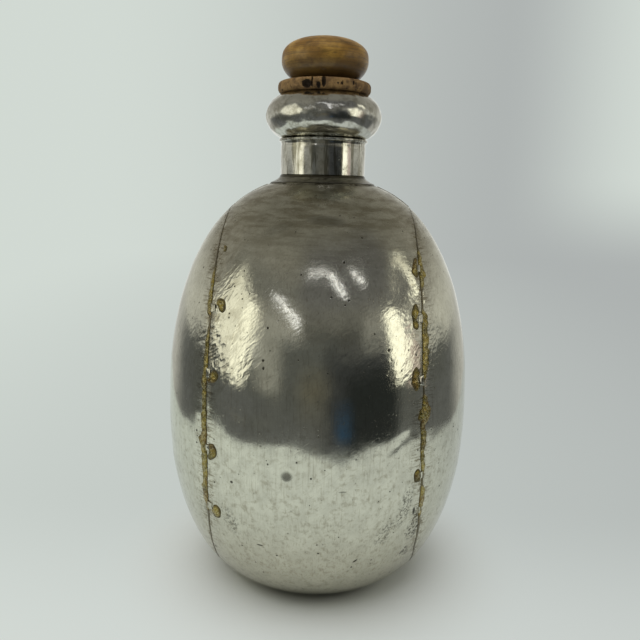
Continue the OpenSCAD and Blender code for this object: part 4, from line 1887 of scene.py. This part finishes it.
def make_flask() -> Flask:
    """Gives the flask the sizes, seams and marks of this one."""
    dents = (
        Dent(-10 * MM, 73.5 * MM, 3.4 * MM, 3.4 * MM, 0.4 * MM),
        Dent(-12 * MM, 76 * MM, 10 * MM, 6 * MM, 0.16 * MM),
        Dent(0, 149 * MM, 12 * MM, 4 * MM, 0.03 * MM, -14),
        Dent(15 * MM, 156 * MM, 8 * MM, 4 * MM, 0.05 * MM, -30),
        Dent(34 * MM, 84 * MM, 7 * MM, 2.4 * MM, 0.16 * MM, 40),
        Dent(33 * MM, 147 * MM, 6 * MM, 10 * MM, 0.55 * MM, 20),
        Dent(-27 * MM, 97 * MM, 9 * MM, 7 * MM, 0.35 * MM),
        Dent(12 * MM, 116 * MM, 14 * MM, 9 * MM, 0.7 * MM, 20, Face.BACK),
        Dent(-24 * MM, 58 * MM, 9 * MM, 12 * MM, 0.6 * MM, 0, Face.BACK),
        Dent(25 * MM, 150 * MM, 10 * MM, 6 * MM, 0.5 * MM, -20, Face.BACK),
    )
    low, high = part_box("left_cap")[0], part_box("right_cap")[1]
    form = BodyForm(belly_r=(high.x - low.x) / 2, dents=dents)

    def pairs(*numbers: float) -> tuple[tuple[float, float], ...]:
        """Millimetres in turn, as pairs of metres."""
        return tuple(zip((n * MM for n in numbers[::2]), (n * MM for n in numbers[1::2])))

    # Heights up the flask, and how far the panel's edge lies inside the drawn seam there
    left_edge = pairs(4, 0.2, 28, -0.4, 35, -0.2, 50, 0.4, 58, 0.6, 72, 0.8, 100, 0.7, 112, 0.9,
                      130, 0.9, 150, 0.4, 160, 0.2, 173, 0.2)
    right_edge = pairs(4, -2.4, 20, -2.3, 30, -1.5, 38, -1.6, 55, -0.4, 66, -0.4, 80, 0.8, 92, 1.5,
                       103, 0.8, 112, 1.3, 135, 1.3, 142, 1.0, 153, 1.4, 173, 1.0)
    lines = {
        Side.LEFT: SeamLine(form, Side.LEFT, left_edge),
        Side.RIGHT: SeamLine(form, Side.RIGHT, right_edge),
    }
    widths = {
        Side.LEFT: pairs(4, 0.5, 26, 0.8, 46, 1.2, 50, 2.0, 55, 3.8, 62, 3.4, 70, 3.6, 76, 3.2, 80, 4.8,
                         84, 3.3, 90, 3.0, 105, 3.1, 112, 2.7, 120, 2.6, 126, 1.6, 131, 0.9,
                         135, 2.6, 142, 2.6, 148, 1.8, 155, 1.2, 173, 1.0),
        Side.RIGHT: pairs(4, 0.8, 30, 1.1, 38, 1.3, 46, 1.5, 50, 2.0, 55, 2.9, 60, 2.7, 64, 1.2, 73, 2.2,
                          80, 2.3, 85, 3.4, 90, 2.6, 93, 5.6, 97, 4.4, 101, 2.9, 104, 0.9,
                          108, 0.9, 112, 3.0, 118, 3.9, 134, 3.6, 138, 1.1, 144, 1.1, 148, 2.6,
                          152, 4.0, 157, 2.6, 162, 1.0, 173, 0.8),
    }

    def cramp(z: float, tip: float, tall: float, *spot: float, lean: float = 0.0) -> Cramp:
        """One cramp from millimetres: height, tongue, then the spot's place and half lengths."""
        if not spot:
            return Cramp(z * MM, tip * MM, tall * MM)
        across, up, half_across, half_up, rise = spot
        place, half = Vector((across, up, 0)) * MM, Vector((half_across, half_up, rise)) * MM
        return Cramp(z * MM, tip * MM, tall * MM, place, half, lean)

    cramps = {
        Side.LEFT: (
            cramp(50.8, 3.0, 3.6, 5.2, -1.8, 2.9, 3.3, 0.7, lean=0.15),
            cramp(78, 2.0, 3.0, 3.3, -1.2, 3.0, 3.6, 0.6, lean=-0.3),
            cramp(109.8, 2.3, 4.2, 3.7, -1.3, 3.1, 2.7, 0.7, lean=-0.35),
            cramp(135.6, 2.8, 3.6, 6.0, 2.0, 2.9, 2.7, 0.7),
            cramp(159, 0, 3, 5.0, 0, 1.9, 1.5, 0.3),
        ),
        Side.RIGHT: (
            cramp(51, 0.7, 3.8),
            cramp(68.3, 1.1, 3.6, 2.6, -0.3, 2.1, 3.1, 0.6),
            cramp(95, 0, 3, 0.1, 0, 2.1, 3.0, 0.6),
            cramp(109.3, 2.4, 4.4, 3.9, 0.8, 2.4, 4.8, 0.6, lean=0.1),
            cramp(133.8, 2.5, 3.4, 3.9, 0.8, 2.1, 5.2, 0.5),
            cramp(153, 1.7, 3.0, 2.6, 0.4, 2.2, 4.2, 0.35),
        ),
    }
    inner = tuple(share * (form.belly_z + form.crown_rise) for share in (0.32, 0.47, 0.65, 0.77))
    seams = {
        side: SideSeam(line, widths[side], cramps[side], inner) for side, line in lines.items()
    }

    def front_mark(
        x: float, z: float, half_width: float, half_height: float, turn: float = 0.0,
        strength: float = 1.0, broken: bool = False,
    ) -> DarkMark:
        """A mark on the front panel, from millimetres."""
        y = -math.sqrt(form.radius_at(z * MM) ** 2 - (x * MM) ** 2)
        half = half_width * MM, half_height * MM
        return DarkMark((x * MM, y, z * MM), *half, turn, strength, broken)

    # The first mark, at 72.8 mm on the front, is a painted reflection of the dark room in the dent
    # there; the others are marks in the metal and dirt on it.
    dark_marks = (
        front_mark(-10, 72.8, 3.0, 2.5, 0, 0.6), front_mark(-21.2, 38.2, 1.9, 0.5), front_mark(18.7, 31.5, 1.7, 0.6, -40),
        front_mark(10.4, 156.4, 0.7, 0.7), front_mark(12.6, 142.3, 0.6, 0.5), front_mark(28.8, 123, 0.8, 0.9),
        front_mark(-18.5, 131, 0.7, 0.7), front_mark(-20, 118.5, 0.8, 0.7), front_mark(-19.8, 115.5, 0.6, 0.9),
        front_mark(-6.2, 151.5, 0.5, 0.5), front_mark(12.4, 66.5, 2.2, 0.5, 0, 0.5), front_mark(-14, 34, 0.6, 0.5),
        front_mark(3.2, 37, 0.6, 0.6), front_mark(-33, 66, 0.9, 0.8), front_mark(43.1, 51.5, 0.8, 2.8),
        front_mark(41, 131, 1.0, 0.5, 30), front_mark(43.6, 109.6, 0.6, 1.5), front_mark(41.5, 28, 1.6, 2.6, 0, 0.5),
        front_mark(-43, 26, 1.2, 1.6, 0, 0.5), front_mark(-44.7, 136, 0.8, 2.0, 0, 0.9),
        front_mark(3, 172, 11, 4.5, 8, 0.35), front_mark(-17, 168, 9, 3, -20, 0.2),
        front_mark(43, 44, 4, 17, 0, 0.9, True), front_mark(39, 55, 8, 14, 0, 0.7, True),
        front_mark(-34, 47, 9, 9, 0, 0.6, True), front_mark(31, 44, 9, 9, 0, 0.6, True),
        front_mark(44.5, 42, 3, 17, 0, 0.9, True), front_mark(40, 29, 4, 9, -20, 0.8, True),
    )
    voids = (
        Void(-21, 0.42, 2.0 * MM, 0.3, 2.6 * MM),
        Void(-14, 0.7, 0.35 * MM, 0.5, 2.2 * MM),
        Void(-6, 0.3, 0.9 * MM, 0.25, 1.4 * MM),
        Void(0, 0.62, 0.8 * MM, 0.45, 2.0 * MM),
        Void(22, 0.5, 0.6 * MM, 0.14, 0.9 * MM),
        Void(38, 0.6, 0.5 * MM, 0.2, 0.8 * MM),
        Void(118, 0.4, 1.4 * MM, 0.2, 1.8 * MM),
        Void(171, 0.6, 0.5 * MM, 0.6, 2.0 * MM),
        Void(-126, 0.5, 1.1 * MM, 0.3, 1.6 * MM),
    )
    return Flask(form, lines, seams, Stopper(voids=voids), WornSheet(dark_marks=dark_marks))


def make_studio() -> Studio:
    """Lays out the room as the photograph's metal mirrors it."""
    dark = (0.043, 0.046, 0.048)
    cream = (1.0, 0.985, 0.84)
    cool = (0.93, 0.94, 1.0)
    patches = (
        Glow(5, 31, 100, 9, 10, (0.175, 0.175, 0.16)),
        Glow(32, 42, 48, 20, 12, (0.135, 0.135, 0.135)),
        Glow(0, -3, 112, 4, 5, (0.10, 0.105, 0.10)),
        Glow(16, -7, 66, 8, 5, (0.10, 0.105, 0.10)),
        Glow(12, 14, 24, 7, 7, (0.10, 0.10, 0.09)),
        Glow(-12, 1, 26, 12, 5, (0.105, 0.11, 0.105)),
        Glow(-90, -12, 16, 9, 6, (0.10, 0.105, 0.10)),
        Glow(32, -6, 26, 18, 9, dark),
        Glow(42, -12, 20, 12, 5, (0.022, 0.025, 0.025)),
        Glow(-2, -6, 10, 7, 8, (0.125, 0.118, 0.092)),
        Glow(20, -17, 5, 2, 5, (0.024, 0.07, 0.14)),
        Glow(-35, 5, 8, 14, 7, (0.30, 0.30, 0.27)),
        Glow(-68, 12, 19.5, 15, 4, cream, 1.0, -24),
        Glow(-57, 8, 4, 14, 3, cream, 1.4, -12),
        Glow(65, 8, 8, 12, 2.4, cream, 1.5, 12),
        Glow(77, 1, 4, 8, 3, (0.62, 0.52, 0.47)),
        Glow(87, 27, 5, 8, 3, cream, 1.4, 20),
        Glow(-1, 43, 9, 0.6, 0.9, cool, 2.6, 4),
        Glow(16, 37, 9, 0.7, 0.9, cool, 3.8, -42),
        Glow(38, 39, 6, 1.3, 1.4, cool, 3.0, -38),
        Glow(-26, 23, 13, 0.6, 1.0, cool, 3.0, -24),
    )
    return Studio(patches=patches)


def main() -> None:
    """Builds the flask and the studio, and reports each piece."""
    logging.basicConfig(level=logging.INFO, format="%(name)s: %(message)s")
    scene = bpy.context.scene
    scene.view_settings.view_transform = "Standard"
    studio = make_studio()
    studio.camera()
    flask = make_flask()
    for group in (flask.body, flask.neck, flask.closure):
        for fitting in group():
            fitting.fit()
    studio.stage()
    studio.lamp()
    studio.room()
    boxes = {"cad": cad_box, "visual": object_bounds()}
    {name: [list(corner) for corner in box] for name, box in boxes.items()}


if __name__ == "__main__":
    main()
